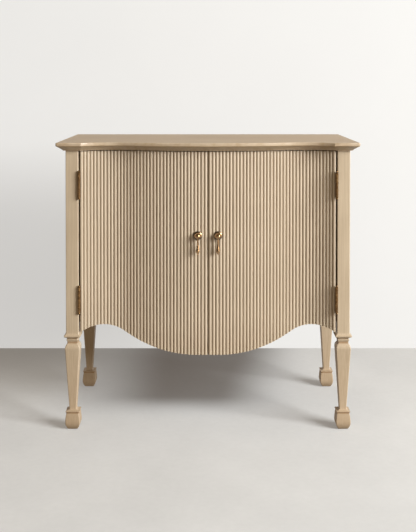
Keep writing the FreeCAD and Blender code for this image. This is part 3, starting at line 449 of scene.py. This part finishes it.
thin_grime = clouds_of_grime(film=0.22, more=0.30, spread=(0.4, 0.7))
thick_grime = clouds_of_grime(film=0.45, more=0.40, spread=(0.35, 0.7))
drop_brass = aged_brass("drop_brass", thin_grime, lacquer=1.0)
hinge_brass = aged_brass("hinge_brass", thick_grime, lacquer=0.0)
rosette_brass = aged_brass("rosette_brass", rosette_painted_shade, lacquer=1.0)
print("brass:", drop_brass.name, hinge_brass.name, rosette_brass.name)

# %% [markdown]
# ## Steel and plastic
# Screws are zinc plated, and the plating blooms into slightly duller patches. The catch and the glides are
# dark plastic with the fine grained skin that a mould leaves. Both are small and half hidden, so one noise
# for each is enough.

# %% Zinced steel and dark plastic
ZINC_TONES = ((0.62, 0.62, 0.60, 1), (0.46, 0.47, 0.49, 1))
PLASTIC_TONES = ((0.045, 0.036, 0.03, 1), (0.075, 0.062, 0.05, 1))
BLOOM_SCALE = 180
BLOOM_SPREAD = (0.35, 0.7)
ZINC_ROUGHNESS = 0.28
PLASTIC_ROUGHNESS = 0.45
MOULD_GRAIN_SCALE = 1400
MOULD_GRAIN_RELIEF = 0.2
MOULD_GRAIN_DEPTH = 0.0002      # metres


def zinced_steel():
    """Two greys, and two shines, that change with the bloom of the plating."""
    steel = new_finish("zinced_steel")
    bloom = steel.noise(BLOOM_SCALE, detail=4.0).between(*BLOOM_SPREAD)
    return steel.surface(
        Base_Color=steel.mix(bloom, *ZINC_TONES),
        Metallic=1.0,
        Roughness=ZINC_ROUGHNESS + bloom * 0.2,
    )


def dark_plastic():
    """Two dark browns that change with the grain of the mould, which also raises the surface."""
    plastic = new_finish("dark_plastic")
    grain = plastic.noise(MOULD_GRAIN_SCALE, detail=2.0)
    return plastic.surface(
        Base_Color=plastic.mix(grain, *PLASTIC_TONES),
        Roughness=PLASTIC_ROUGHNESS + grain * 0.2,
        Normal=plastic.bump(grain, MOULD_GRAIN_RELIEF, MOULD_GRAIN_DEPTH),
    )


steel = zinced_steel()
plastic = dark_plastic()
print("finishes:", [material.name for material in bpy.data.materials if material.use_nodes])

# %% [markdown]
# ## The legs
# Each corner of the chest is one square post: a straight stile beside the doors, then a flared collar, a
# bead, a swelling shoulder, a long taper and a spade foot with a line cut into it. A turner would work this
# on a lathe and then square it. Here a half-width for every height gives the outline.

# %% Outline of a leg
STILE_HALF = 19.0
LEG_TOP_Z = 836.5
SANDED = 0.5                   # cut off each side of a sharp corner
SANDED_MOST = 0.4              # or this share of the shorter side, if that is less
SHARP_CORNER = math.radians(25)
SAME_PLACE = 1e-6


def bowed(a, b, bulge, count=10):
    """Points from a to b on a curve: the straight line, plus 4 t (1 - t) times the bulge across it."""
    a, b = np.array(a, float), np.array(b, float)
    t = np.linspace(0, 1, count)[:, None]
    across = np.array([b[1] - a[1], a[0] - b[0]]) / np.hypot(*(b - a))
    return a + (b - a) * t + 4 * bulge * t * (1 - t) * across


def softened(outline):
    """The outline with each sharp corner cut off a little on both sides, as fine sandpaper does."""
    moves = np.hypot(*np.diff(outline, axis=0).T) > SAME_PLACE
    outline = np.concatenate([outline[:1], outline[1:][moves]])
    step = np.diff(outline, axis=0)
    length = np.hypot(*step.T)
    ahead = step / length[:, None]
    turn = np.arccos(np.clip((ahead[1:] * ahead[:-1]).sum(1), -1, 1))
    back = np.minimum(SANDED, SANDED_MOST * np.minimum(length[1:], length[:-1]))[:, None]
    pairs = np.stack([outline[1:-1] - ahead[:-1] * back, outline[1:-1] + ahead[1:] * back], 1)
    sharp = turn > SHARP_CORNER
    pairs[~sharp] = outline[1:-1][~sharp][:, None]
    keep = np.stack([np.ones_like(sharp), sharp], 1).ravel()
    return np.concatenate([outline[:1], pairs.reshape(-1, 2)[keep], outline[-1:]])


# Half-widths and heights from the foot up; a curve's last number is its bulge
leg_outline = softened(np.concatenate([
    bowed((14.6, 1.2), (21.4, 29), 3.0),
    bowed((21.4, 29), (18.8, 49.8), 0.3),
    [(18.8, 52), (20.6, 52), (20.6, 55)],
    bowed((20.6, 55), (10.6, 60), -1.5),
    [(21.8, 239.5)],
    bowed((21.8, 239.5), (15.6, 258), 2.4),
    [(15.6, 261.2)],
    bowed((15.6, 264.5), (15.6, 274), 2.1),
    [(24.5, 279), (24.5, 283.5)],
    bowed((24.5, 283.5), (STILE_HALF, 291.5), -1.5),
    [(STILE_HALF, LEG_TOP_Z)],
]))
print("leg outline:", leg_outline.shape, "widest half", leg_outline[:, 0].max())

# %% [markdown]
# ## Squaring the legs
# Spinning the outline would give a round leg, and stacked cubes would have razor edges. So each row is a
# square of the outline's half-width with slightly rounded corners. The rounded arrises are marked for
# wear, and the narrow quirks of the outline are marked for painted shade, in a glazing colour.

# %% Square the legs
ARRIS = 2.2                    # radius of a rounded corner
ARRIS_SUPPORT = 1.0            # how far on the flat the next point lies
ARRIS_POINTS = 5
# Painted shade in the quirks of the leg: the foot line, the neck and under the collar
LEG_QUIRKS = ((50.9, 1.8), (261.2, 3.2), (275.2, 2.4))     # heights and reaches
LEG_QUIRK_SHADE = 1.5
ARRIS_WEAR = (0, 0.6, 1, 1, 1, 0.6, 0)      # over the points of one corner


def square_section(half):
    """Rounded squares: at each corner a quarter circle, with a point on the flat before and after it."""
    start = np.arange(4)[:, None] * np.pi / 2
    angle = start + np.linspace(0, np.pi / 2, ARRIS_POINTS)[None]
    arc = ARRIS * np.stack([np.cos(angle), np.sin(angle)], -1)
    before = arc[:, :1] + ARRIS_SUPPORT * np.stack([np.sin(start), -np.cos(start)], -1)
    after = arc[:, -1:] + ARRIS_SUPPORT * np.stack([-np.cos(start), -np.sin(start)], -1)
    offset = np.concatenate([before, arc, after], 1)
    corner = np.sign(np.stack([np.cos(start + np.pi / 4), np.sin(start + np.pi / 4)], -1))
    points = corner[None] * (half[:, None, None, None] - ARRIS) + offset[None]
    return points.reshape(len(half), -1, 2)


def leg_skin(x, y):
    """Rows are the heights of the outline, columns go round the square."""
    half, z = leg_outline.T
    section = square_section(half)
    height = np.broadcast_to(z[:, None, None], section.shape[:2] + (1,))
    return skin(np.concatenate([section + (x, y), height], -1))


def middle(node):
    """Middle of a solid's box, in millimetres."""
    low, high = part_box(node)
    return (np.array(low) + np.array(high)) / 2 / MM


def in_quirks(z):
    """Painted shade at the quirks, falling off within a few millimetres as a bell curve."""
    quirk, reach = np.array(LEG_QUIRKS).T
    return LEG_QUIRK_SHADE * np.exp(-(((z[:, None] - quirk) / reach) ** 2)).max(1)


edge_of_section = np.tile(ARRIS_WEAR, 4)
grid = (len(leg_outline), len(edge_of_section))
leg_marks = {
    "wear_and_painted_light": np.broadcast_to(edge_of_section, grid),
    # Painted shade in the quirks
    "painted_recess_shade": np.broadcast_to(in_quirks(leg_outline[:, 1])[:, None], grid),
}
for corner in ("front_left", "front_right", "back_left", "back_right"):
    x, y, _ = middle(corner + "_leg")
    nodes = [corner + "_leg"]
    make_piece(corner + "_post", leg_skin(x, y), limed_upright, "carcass", nodes, leg_marks)

# %% [markdown]
# ## The serpentine
# Seen from above, the front is a shallow bow between two scoops. Both are arcs that meet without a corner.
# One function gives any line that runs beside this curve, in front of it or behind it, because the arcs
# keep their centres and only change their radius. The top, the door panels and the reeds all follow it.

# %% A line beside the serpentine
LEG_X, LEG_Y, _ = middle("front_right_leg")
LEG_FRONT = LEG_Y - STILE_HALF
HINGE_GAP = 4.2
HINGE_EDGE = LEG_X - STILE_HALF - HINGE_GAP
MEETING_EDGE = 1.5
SCOOP_RADIUS = 190.0
SCOOP_TO_HINGE = 97.0
SCOOP_TO_TURN = 50.0
SCOOP_X = HINGE_EDGE - SCOOP_TO_HINGE
SCOOP_Y = LEG_FRONT - math.sqrt(SCOOP_RADIUS**2 - SCOOP_TO_HINGE**2)
TURN = math.asin(SCOOP_TO_TURN / SCOOP_RADIUS)
BOW_RADIUS = (SCOOP_X - SCOOP_TO_TURN) / math.sin(TURN)
BOW_Y = SCOOP_Y + (SCOOP_RADIUS + BOW_RADIUS) * math.cos(TURN)


def serpentine(share, behind, start_x, end_x):
    """x and y at a share of the way from start_x on the bow to end_x in the scoop.

    The line runs a distance behind the reeds' crests. The way is measured along it: first round the bow's
    centre, then round the scoop's.
    """
    bow = BOW_RADIUS - behind
    scoop = SCOOP_RADIUS + behind
    start = bow * np.arcsin(start_x / bow)
    turn = bow * TURN
    end = turn + scoop * (TURN + np.arcsin((end_x - SCOOP_X) / scoop))
    way = start + (end - start) * share
    on_bow = way / bow
    in_scoop = TURN - (way - turn) / scoop
    x = np.where(way < turn, bow * np.sin(on_bow), SCOOP_X - scoop * np.sin(in_scoop))
    y = np.where(way < turn, BOW_Y - bow * np.cos(on_bow), SCOOP_Y + scoop * np.cos(in_scoop))
    return x, y


print("bow radius", round(BOW_RADIUS, 1), "crest of the bow at y", round(BOW_Y - BOW_RADIUS, 2))

# %% [markdown]
# ## The moulding of the top
# The top is one shaped board. Its edge has a narrow fascia over a long undercut, the same all round except
# at the back. A bevel would round all edges alike, and this edge isn't round. So the moulding is a list of
# levels, each with an inset from the edge and a height.

# %% Levels of the moulding
TOP_HALF = 450.0
TOP_Z = 860.5
TOP_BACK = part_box("top")[1].y / MM
FRONT_OVERHANG = 26.0
FASCIA_BASE = TOP_Z - 9.5
UNDERCUT_END = 19.1
UNDERCUT_RISE = 0.8
UNDERCUT_BULGE = 0.4
QUIRK_STEP = 0.6
NOSE = 2.5
FASCIA_FOOT = 1.2
FASCIA_FOOT_SHAPE = (0.5, 1)   # the rounding goes in half as far as it goes up
FLAT_MARGIN = 1.5


def quarter(radius, count=7):
    """Quarter circle from straight down to straight out, as (inset, rise) pairs."""
    angle = np.linspace(0, np.pi / 2, count)
    return radius * np.stack([1 - np.sin(angle), 1 - np.cos(angle)], -1)


undercut_start = (UNDERCUT_END, LEG_TOP_Z + UNDERCUT_RISE)
undercut = bowed(undercut_start, (QUIRK_STEP, FASCIA_BASE - QUIRK_STEP), UNDERCUT_BULGE)
fascia_foot = quarter(FASCIA_FOOT)[1:] * FASCIA_FOOT_SHAPE + (0, FASCIA_BASE)
nose = quarter(NOSE)[::-1] * (1, -1) + (0, TOP_Z)
levels = np.concatenate([
    [(UNDERCUT_END + FLAT_MARGIN, LEG_TOP_Z), (UNDERCUT_END, LEG_TOP_Z)],
    undercut,
    fascia_foot,
    nose,
    [(NOSE + FLAT_MARGIN, TOP_Z)],
])
print("levels of the moulding:", len(levels))

# %% [markdown]
# ## The top
# Each level is the outline of the top, drawn as far inside its edge as the level says: the serpentine in
# front, a small round at each corner, and straight sides. The nose is paler from wear and painted light,
# the undercut is paled by painted light, and shade is painted under the fascia and deep in the hollow.
# All of these are marked for the finish.

# %% Outline of the top at each level
TOP_CORNER = 5.0
TOP_CORNER_POINTS = 7
TOP_FRONT_POINTS = 81
# Nose: wear and painted light. Undercut: painted light. Below the fascia and in the hollow: painted shade.
NOSE_WEAR_AND_LIGHT = 1.4
UNDERCUT_LIGHT = 0.9
FASCIA_FOOT_MARGIN = 2.0                # distance from the fascia's foot
FASCIA_SHADE = 0.6
FASCIA_SHADE_REACH = 0.15      # share of the moulding below the fascia
HOLLOW_SHADE = 0.5


def top_outline(inset):
    """Loop of points for each inset, from back left round the front; the left half mirrors the right."""
    inset = inset[:, None]
    behind = inset - FRONT_OVERHANG
    side = TOP_HALF - inset
    crease = SCOOP_X + np.sqrt((SCOOP_RADIUS + behind) ** 2 - (LEG_FRONT + behind - SCOOP_Y) ** 2)
    front_x, front_y = serpentine(np.linspace(0, 1, TOP_FRONT_POINTS)[None], behind, 0, crease)
    angle = np.linspace(-np.pi / 2, 0, TOP_CORNER_POINTS)[None]
    corner_x = side - TOP_CORNER + TOP_CORNER * np.cos(angle)
    corner_y = LEG_FRONT + behind + TOP_CORNER + TOP_CORNER * np.sin(angle)
    half_x = np.concatenate([front_x, corner_x, side], 1)
    half_y = np.concatenate([front_y, corner_y, np.full_like(side, TOP_BACK)], 1)
    loop_x = np.concatenate([-half_x[:, :0:-1], half_x], 1)
    loop_y = np.concatenate([half_y[:, :0:-1], half_y], 1)
    return np.stack([loop_x, loop_y], -1)


def top_wear_and_light(inset, z):
    """Wear and painted light on the nose, fading in upwards, and even painted light on the undercut."""
    on_nose = (inset < NOSE) * np.clip((z - FASCIA_BASE) / FASCIA_FOOT_MARGIN, 0, 1)
    return NOSE_WEAR_AND_LIGHT * on_nose + UNDERCUT_LIGHT * (z < FASCIA_BASE - FASCIA_FOOT_MARGIN)


def top_painted_shade(z):
    """Painted shade: a bell curve close under the fascia, and the cube of the depth towards the stiles."""
    depth = np.clip((FASCIA_BASE - z) / (FASCIA_BASE - LEG_TOP_Z), 0, 1)
    under_fascia = FASCIA_SHADE * np.exp(-((depth / FASCIA_SHADE_REACH) ** 2))
    return (depth > 0) * (under_fascia + HOLLOW_SHADE * depth**3)


inset, z = levels.T
outline = top_outline(inset)
height = np.broadcast_to(z[:, None, None], outline.shape[:2] + (1,))
top_skin = skin(np.concatenate([outline, height], -1), "flat")
# The top's marks: wear with painted light, and painted shade
top_marks = {
    "wear_and_painted_light": np.broadcast_to(top_wear_and_light(inset, z)[:, None], outline.shape[:2]),
    "painted_recess_shade": np.broadcast_to(top_painted_shade(z)[:, None], outline.shape[:2]),
}
make_piece("shaped_top", top_skin, limed_across, "carcass", ["top"], top_marks)

# %% [markdown]
# ## The scalloped edge of the doors
# Both doors end below in a scalloped edge: flat in the middle of the chest, an arc that curls up, then an
# arc over a peak beside the leg. A saw follows a drawn line, and a cutter object could do the same here.
# But only x sets that height, so one function cuts the panels and all the reeds.

# %% Scalloped lower edge
DOOR_TOP = 833.5
DOOR_LOWEST = 228.5
FLAT_HALF = 38.0
PEAK_RADIUS = 120.0
PEAK_TO_HINGE = 65.0
CURL = math.radians(32.7)
PEAK_X = HINGE_EDGE - PEAK_TO_HINGE
CURL_X = PEAK_X - PEAK_RADIUS * math.sin(CURL)
CURL_RADIUS = (CURL_X - FLAT_HALF) / math.sin(CURL)
PEAK_Z = DOOR_LOWEST + (CURL_RADIUS + PEAK_RADIUS) * (1 - math.cos(CURL))


def scallop(x):
    """Height of the lower edge: a circle that stands on the flat, then a circle under the peak."""
    past_flat = np.clip(x - FLAT_HALF, 0, CURL_RADIUS)
    rising = DOOR_LOWEST + CURL_RADIUS - np.sqrt(CURL_RADIUS**2 - past_flat**2)
    peak = PEAK_Z - PEAK_RADIUS + np.sqrt(np.clip(PEAK_RADIUS**2 - (x - PEAK_X) ** 2, 0, None))
    return np.where(x < CURL_X, rising, peak)


print("peak of the scallop at", round(PEAK_Z, 1))

# %% [markdown]
# ## Door panels
# Each panel is bent to the serpentine. A curved plane with a thickness would end square to the curve, but a
# door's edges run straight back. So one ring of points, along the face and home along the back, is carried
# up from the scallop to the top. A small bevel then takes the sharpness off the edges.

# %% Door panels
REED_HEIGHT = 4.0
PANEL_BACK = 19.0
PANEL_POINTS = 77
# Painted shade on the panel's face, which shows in the quirks between the reeds
PANEL_FACE_SHADE = 0.4
DOOR_ROWS = 3
LIP_EDGE = 0.05                # a thin lip at the back closes most of the gap between the doors
LIP_FRONT = 14.0


def door_slab(xy):
    """Rows from the scalloped edge to the top over a ring of points (..., column, xy)."""
    base = scallop(xy[..., 0])[..., None, :]
    share = np.linspace(0, 1, DOOR_ROWS)[:, None]
    z = base + (DOOR_TOP - base) * share
    flat = np.broadcast_to(xy[..., None, :, :], z.shape + (2,))
    return np.concatenate([flat, z[..., None]], -1)


share = np.linspace(0, 1, PANEL_POINTS)
face = np.stack(serpentine(share, REED_HEIGHT, MEETING_EDGE, HINGE_EDGE), -1)
back = np.stack(serpentine(share[::-1], PANEL_BACK, LIP_EDGE, HINGE_EDGE), -1)
lip = np.stack(serpentine(0, LIP_FRONT, np.array([LIP_EDGE, MEETING_EDGE]), HINGE_EDGE), -1)
panel_skin = skin(door_slab(np.concatenate([face, back, lip])))
# Painted shade on the face points, none on the back or the lip
panel_face_shade = np.r_[np.full(len(face), PANEL_FACE_SHADE), np.zeros(len(back) + len(lip))]
panel_marks = {"painted_recess_shade": np.tile(panel_face_shade, DOOR_ROWS)}
for side, shape in (("left", mirrored(panel_skin)), ("right", panel_skin)):
    name = side + "_door_panel"
    nodes = [side + "_door_core"]
    panel = make_piece(name, shape, limed_upright, side + "_door", nodes, panel_marks)
    round_over = panel.modifiers.new("round_over", "BEVEL")
    round_over.width = 0.0008
    round_over.segments = 2
    round_over.limit_method = "ANGLE"
    round_over.angle_limit = math.radians(50)
    round_over.harden_normals = True

# %% [markdown]
# ## Reeds
# Each door carries 38 half-round reeds, glued side by side on its face. An array along a curve would bend
# them and cut them all to one length. Here every reed is an arc over its own straight seat, and the scallop
# gives it its length. No two sticks are quite alike, so each one gets a slightly different tone.

# %% Reeds
REED_COUNT = 38
REED_QUIRK = 0.5               # groove between two reeds
REED_POINTS = 14
# Painted shade that grows with the square of the depth towards the grooves between reeds
REED_GROOVE_SHADE = 0.15
REED_SEED = 38
seat = np.stack(serpentine(np.linspace(0, 1, REED_COUNT + 1), REED_HEIGHT, MEETING_EDGE, HINGE_EDGE), -1)
along = np.diff(seat, axis=0)
pitch = np.hypot(*along.T)[:, None]
along = along / pitch
outwards = np.stack([along[:, 1], -along[:, 0]], -1)


def reed_sections():
    """Arcs over flat seats: the chord is the pitch less the quirk, and the rise is the reed's height."""
    half = (pitch - REED_QUIRK) / 2
    radius = (half**2 + REED_HEIGHT**2) / (2 * REED_HEIGHT)
    swing = np.arctan2(half, radius - REED_HEIGHT) * np.linspace(-1, 1, REED_POINTS)[None]
    sideways = (radius * np.sin(swing))[..., None] * along[:, None]
    rise = (REED_HEIGHT - radius + radius * np.cos(swing))[..., None] * outwards[:, None]
    return (seat[:-1] + seat[1:])[:, None] / 2 + sideways + rise


sections = reed_sections()
depth = 1 - ((sections - seat[:-1, None]) * outwards[:, None]).sum(-1) / REED_HEIGHT
reed_rows = door_slab(sections)
reed_skin = skin(reed_rows)
tone = np.random.default_rng(REED_SEED).uniform(-1, 1, REED_COUNT)[:, None, None]
reed_marks = {
    "tone": np.broadcast_to(tone, reed_rows.shape[:3]),
    # Painted shade in the grooves
    "painted_recess_shade": np.broadcast_to(REED_GROOVE_SHADE * depth[:, None] ** 2, reed_rows.shape[:3]),
}
for side, shape in (("left", mirrored(reed_skin)), ("right", reed_skin)):
    nodes = [side + "_door_reeds"]
    make_piece(side + "_reeding", shape, limed_reeds, side + "_door", nodes, reed_marks)
print("reed pitch", np.round(pitch.mean(), 2), "mm")

# %% [markdown]
# ## Finishes for the solids that stay
# Boards, screws, hinges and the other solids already have the right shape. They only need their finish, and
# the record says which slot each of them belongs to.

# %% Dress the solids
slot_finish = {
    "limed_wood": limed_upright,
    "inside_wood": inside_across,
    "dowel_wood": dowel_beech,
    "aged_brass": hinge_brass,
    "zinced_steel": steel,
    "dark_plastic": plastic,
}
pull_finish = {"pull_rosette": rosette_brass, "pull_drop": drop_brass}
for part in frame["record"]["subparts"]:
    solid = frame["nodes"][part["node"]]
    without_side = part["node"].split("_", 1)[-1]
    finish = pull_finish.get(without_side, slot_finish[part["material_slot"]])
    for place in solid.material_slots:
        place.material = finish

# %% [markdown]
# ## The room
# The chest stands on a pale floor in front of a white wall. Both only set the scene. More light would
# whiten them, but it would bleach the chest too. So a share of their pale colour goes straight to the rays
# that are seen, and shadows stay as light as a big white room makes them.

# %% Sheets and seen rays
ROOM_REACH = 9.0


def sheet_of(name, corners, finish):
    """A flat quad through four corners, which throws neither shadow nor colour on the chest."""
    mesh = bpy.data.meshes.new(name)
    mesh.from_pydata(corners, [], [(0, 1, 2, 3)])
    mesh.materials.append(finish)
    sheet = bpy.data.objects.new(name, mesh)
    bpy.context.scene.collection.objects.link(sheet)
    sheet.visible_shadow = False
    sheet.visible_diffuse = False
    print("sheet:", name)


def seen_rays(finish):
    """1 for rays that show the background: from the camera, off a shiny surface or through glass."""
    kinds = ("Is Camera Ray", "Is Glossy Ray", "Is Transmission Ray")
    camera, glossy, through = (finish.node("ShaderNodeLightPath", output=kind) for kind in kinds)
    return (camera + glossy + through).between(0, 1)


print("the room reaches", ROOM_REACH, "metres each way")

# %% [markdown]
# ## The floor
# The floor is a pale, cloudy screed. Under the chest and along the foot of the wall the light of a real room
# hardly reaches, and one lamp can't show that. So the floor's own finish darkens there, with edges that
# start and end gently.

# %% Floor
FLOOR_TONES = ((0.680, 0.695, 0.703, 1), (0.780, 0.795, 0.804, 1))
FLOOR_SHADE = (0.115, 0.100, 0.090, 1)
FLOOR_CLOUD_SCALE = 2.2
FLOOR_SPECK_SCALE = 60
FLOOR_SPREAD = (0.3, 0.7)
FLOOR_ROUGHNESS = 0.55
FLOOR_MIRROR = 0.15
FLOOR_GLOW = 0.22
UNDER_CHEST_GLOW = 0.53         # under the chest, this much more of the seen colour is the shade's own
SHADE_LEFT = (-0.60, -0.13)     # metres, from where each shade starts to where it is full
SHADE_RIGHT = (0.02, 0.36)
SHADE_FRONT = (-0.13, 0.10)
SHADE_SLANT = 0.2               # the right side moves to the right by this share of the way back
NEAR_WALL = (0.05, 0.62)
NEAR_WALL_END = (0.05, 0.40)
NEAR_WALL_SHADE = 0.36


def soft_step(value, low, high):
    """A rise from 0 to 1 that starts and ends gently: 3 t t - 2 t t t."""
    t = value.between(low, high)
    return t * t * (3 - 2 * t)


def under_chest(x, y):
    """1 on the floor under the back half of the chest, where the room's light hardly reaches."""
    slanted = x - (y - SHADE_FRONT[1]) * SHADE_SLANT
    return soft_step(x, *SHADE_LEFT) * (1 - soft_step(slanted, *SHADE_RIGHT)) * soft_step(y, *SHADE_FRONT)


def near_wall(x, y):
    """1 along the foot of the wall on the lamp's far side, where the floor lies in the chest's shadow."""
    return soft_step(y, *NEAR_WALL) * (1 - soft_step(x, *NEAR_WALL_END))


def floor_finish():
    """Two tones, by four parts of cloud and one of specks, darkened by the two shades."""
    floor = new_finish("pale_floor")
    cloud = floor.noise(FLOOR_CLOUD_SCALE, detail=5.0, roughness=0.6)
    speck = floor.noise(FLOOR_SPECK_SCALE, detail=3.0)
    pale = floor.mix((cloud * 0.8 + speck * 0.2).between(*FLOOR_SPREAD), *FLOOR_TONES)
    x, y, _ = floor.axes()
    colour = floor.mix(near_wall(x, y) * NEAR_WALL_SHADE, pale, FLOOR_SHADE)
    roughness = FLOOR_ROUGHNESS + cloud * 0.14
    sockets = {"Base Color": colour, "Roughness": roughness, "Specular IOR Level": FLOOR_MIRROR}
    screed = floor.node("ShaderNodeBsdfPrincipled", inputs=sockets)
    shade = under_chest(x, y)
    glow = floor.node("ShaderNodeEmission", inputs={"Color": floor.mix(shade, colour, FLOOR_SHADE)})
    share = seen_rays(floor) * (FLOOR_GLOW + shade * UNDER_CHEST_GLOW)
    shown = floor.node("ShaderNodeMixShader", inputs={0: share, 1: screed, 2: glow})
    floor.node("ShaderNodeOutputMaterial", inputs={"Surface": shown})
    return floor.owner


R = ROOM_REACH
sheet_of("floor", [(-R, -R, 0), (R, -R, 0), (R, R, 0), (-R, R, 0)], floor_finish())

# %% [markdown]
# ## The wall
# The wall is plain white paint over plaster. It shows its front to the camera and is clear from behind, so
# that the back of the chest can be looked at too.

# %% Wall
WALL_Y = 0.608
WALL_HEIGHT = 6.0
WALL_TONES = ((0.850, 0.855, 0.85, 1), (0.880, 0.885, 0.88, 1))
WALL_GLOW = 0.61
TROWEL_SCALE = 3


def wall_finish():
    """Two whites in clouds; a share of them glows for seen rays, and the back lets all light through."""
    wall = new_finish("white_wall")
    colour = wall.mix(wall.noise(TROWEL_SCALE, detail=4.0), *WALL_TONES)
    paint = wall.node("ShaderNodeBsdfDiffuse", inputs={"Color": colour})
    glow = wall.node("ShaderNodeEmission", inputs={"Color": colour})
    lifted = wall.node("ShaderNodeMixShader", inputs={0: seen_rays(wall) * WALL_GLOW, 1: paint, 2: glow})
    clear = wall.node("ShaderNodeBsdfTransparent")
    behind = wall.node("ShaderNodeNewGeometry", output="Backfacing")
    shown = wall.node("ShaderNodeMixShader", inputs={0: behind, 1: lifted, 2: clear})
    wall.node("ShaderNodeOutputMaterial", inputs={"Surface": shown})
    return wall.owner


foot = [(-R, WALL_Y, 0), (R, WALL_Y, 0)]
head = [(R, WALL_Y, WALL_HEIGHT), (-R, WALL_Y, WALL_HEIGHT)]
sheet_of("wall", foot + head, wall_finish())

# %% [markdown]
# ## The lamp
# A large soft lamp stands in front at the right, like a window. A small lamp would be easier to place, but
# its hard shadows would cut the reeds into stripes.

# %% Lamp
LAMP_AZIMUTH = math.radians(56)
LAMP_HEIGHT_ANGLE = math.radians(22)
LAMP_DISTANCE = 6.5
LAMP_AIM = 0.45                # height that the lamp points at

window = bpy.data.lights.new("window", "AREA")
window.shape = "RECTANGLE"
window.size = 3.2
window.size_y = 3.1
window.energy = 640
window.color = (1.0, 0.995, 0.975)
holder = bpy.data.objects.new("window", window)
level = LAMP_DISTANCE * math.cos(LAMP_HEIGHT_ANGLE)
holder.location = (
    level * math.sin(LAMP_AZIMUTH),
    -level * math.cos(LAMP_AZIMUTH),
    LAMP_AIM + LAMP_DISTANCE * math.sin(LAMP_HEIGHT_ANGLE),
)
holder.rotation_euler = (math.pi / 2 - LAMP_HEIGHT_ANGLE, 0, LAMP_AZIMUTH)
bpy.context.scene.collection.objects.link(holder)
print("window at", tuple(round(value, 2) for value in holder.location))

# %% [markdown]
# ## The world
# A room's walls and floor throw light back. The world stands for that: a little warm light from each side
# and from below. Rays that are seen find a plain pale grey instead. Reflections see it darker on the
# camera's side, which gives the brass something dark to show.

# %% World
FRONT_ABOVE, BACK, RIGHT = (0, -0.85, 0.53), (0, 1, 0), (1, 0, 0)
LEFT_ABOVE, BELOW = (-0.85, 0, 0.53), (0, 0, -1)
SIDE_FILLS = {FRONT_ABOVE: 0.23, BACK: 0.30, RIGHT: 0.15, LEFT_ABOVE: 0.27}
FILL_BELOW = 0.05
FILL_COLOUR = (1.0, 0.78, 0.54, 1)
SEEN_COLOUR = (0.80, 0.80, 0.79, 1)
HORIZON_BLUR = 0.02
ROOM_DIMMER = 0.85             # how much darker reflections show the room on the camera's side
ROOM_DIMMER_END = 0.5          # towards the back, where the wall is

world = bpy.data.worlds.new("room")
bpy.context.scene.world = world
sky = Finish(world)
direction = sky.node("ShaderNodeTexCoord", output="Generated")


def from_side(side):
    """Light of strength 1 straight from that side, falling off to 0 at a right angle to it."""
    share = sky.node("ShaderNodeVectorMath", {"operation": "DOT_PRODUCT"}, {0: direction, 1: side}, "Value")
    return share.between(0, 1)


fill = sum(from_side(side) * share for side, share in SIDE_FILLS.items())
strength = fill + from_side(BELOW).between(0, HORIZON_BLUR) * FILL_BELOW
soft = sky.node("ShaderNodeBackground", inputs={"Color": FILL_COLOUR, "Strength": strength})
reflected = sky.node("ShaderNodeLightPath", output="Is Glossy Ray")
dimmer = reflected * (1 - from_side(BACK).between(0, ROOM_DIMMER_END)) * ROOM_DIMMER
pale = sky.node("ShaderNodeBackground", inputs={"Color": SEEN_COLOUR, "Strength": 1 - dimmer})
both = sky.node("ShaderNodeMixShader", inputs={0: seen_rays(sky), 1: soft, 2: pale})
sky.node("ShaderNodeOutputWorld", inputs={"Surface": both})
print("world:", len(world.node_tree.nodes), "nodes")

# %% [markdown]
# ## Camera
# The photograph was taken from just above the top, nearly level, and its frame reaches far below the eye
# line. So the camera looks almost straight ahead and its frame is shifted down, as a view camera's is.

# %% Camera
FRAME_WIDTH, FRAME_HEIGHT = 416, 532
FOCAL_PIXELS = 861.43
PRINCIPAL_X, PRINCIPAL_Y = 207.9, 97.92
PITCH = math.radians(1.0)
EYE_PLACE = (0, -2.7435, 1.0374)
SENSOR_HEIGHT = 36.0
VIEW_MARGIN = 0.8              # with a vertical fit the width only sets how far back other views stand
eye = bpy.data.cameras.new("eye")
eye.sensor_fit = "VERTICAL"
eye.sensor_height = SENSOR_HEIGHT
eye.sensor_width = VIEW_MARGIN * SENSOR_HEIGHT * FRAME_WIDTH / FRAME_HEIGHT
eye.lens = SENSOR_HEIGHT * FOCAL_PIXELS / FRAME_HEIGHT
eye.shift_x = (FRAME_WIDTH / 2 - PRINCIPAL_X) / FRAME_HEIGHT
eye.shift_y = (PRINCIPAL_Y - FRAME_HEIGHT / 2) / FRAME_HEIGHT
camera = bpy.data.objects.new("eye", eye)
camera.location = EYE_PLACE
camera.rotation_euler = (math.pi / 2 - PITCH, 0, 0)
bpy.context.scene.collection.objects.link(camera)
bpy.context.scene.camera = camera
bpy.context.scene.view_settings.view_transform = "Standard"
print("lens", round(eye.lens, 2), "shift", round(eye.shift_y, 4))

# %% [markdown]
# ## The size
# The dressed chest has to fill the same box as the solids.
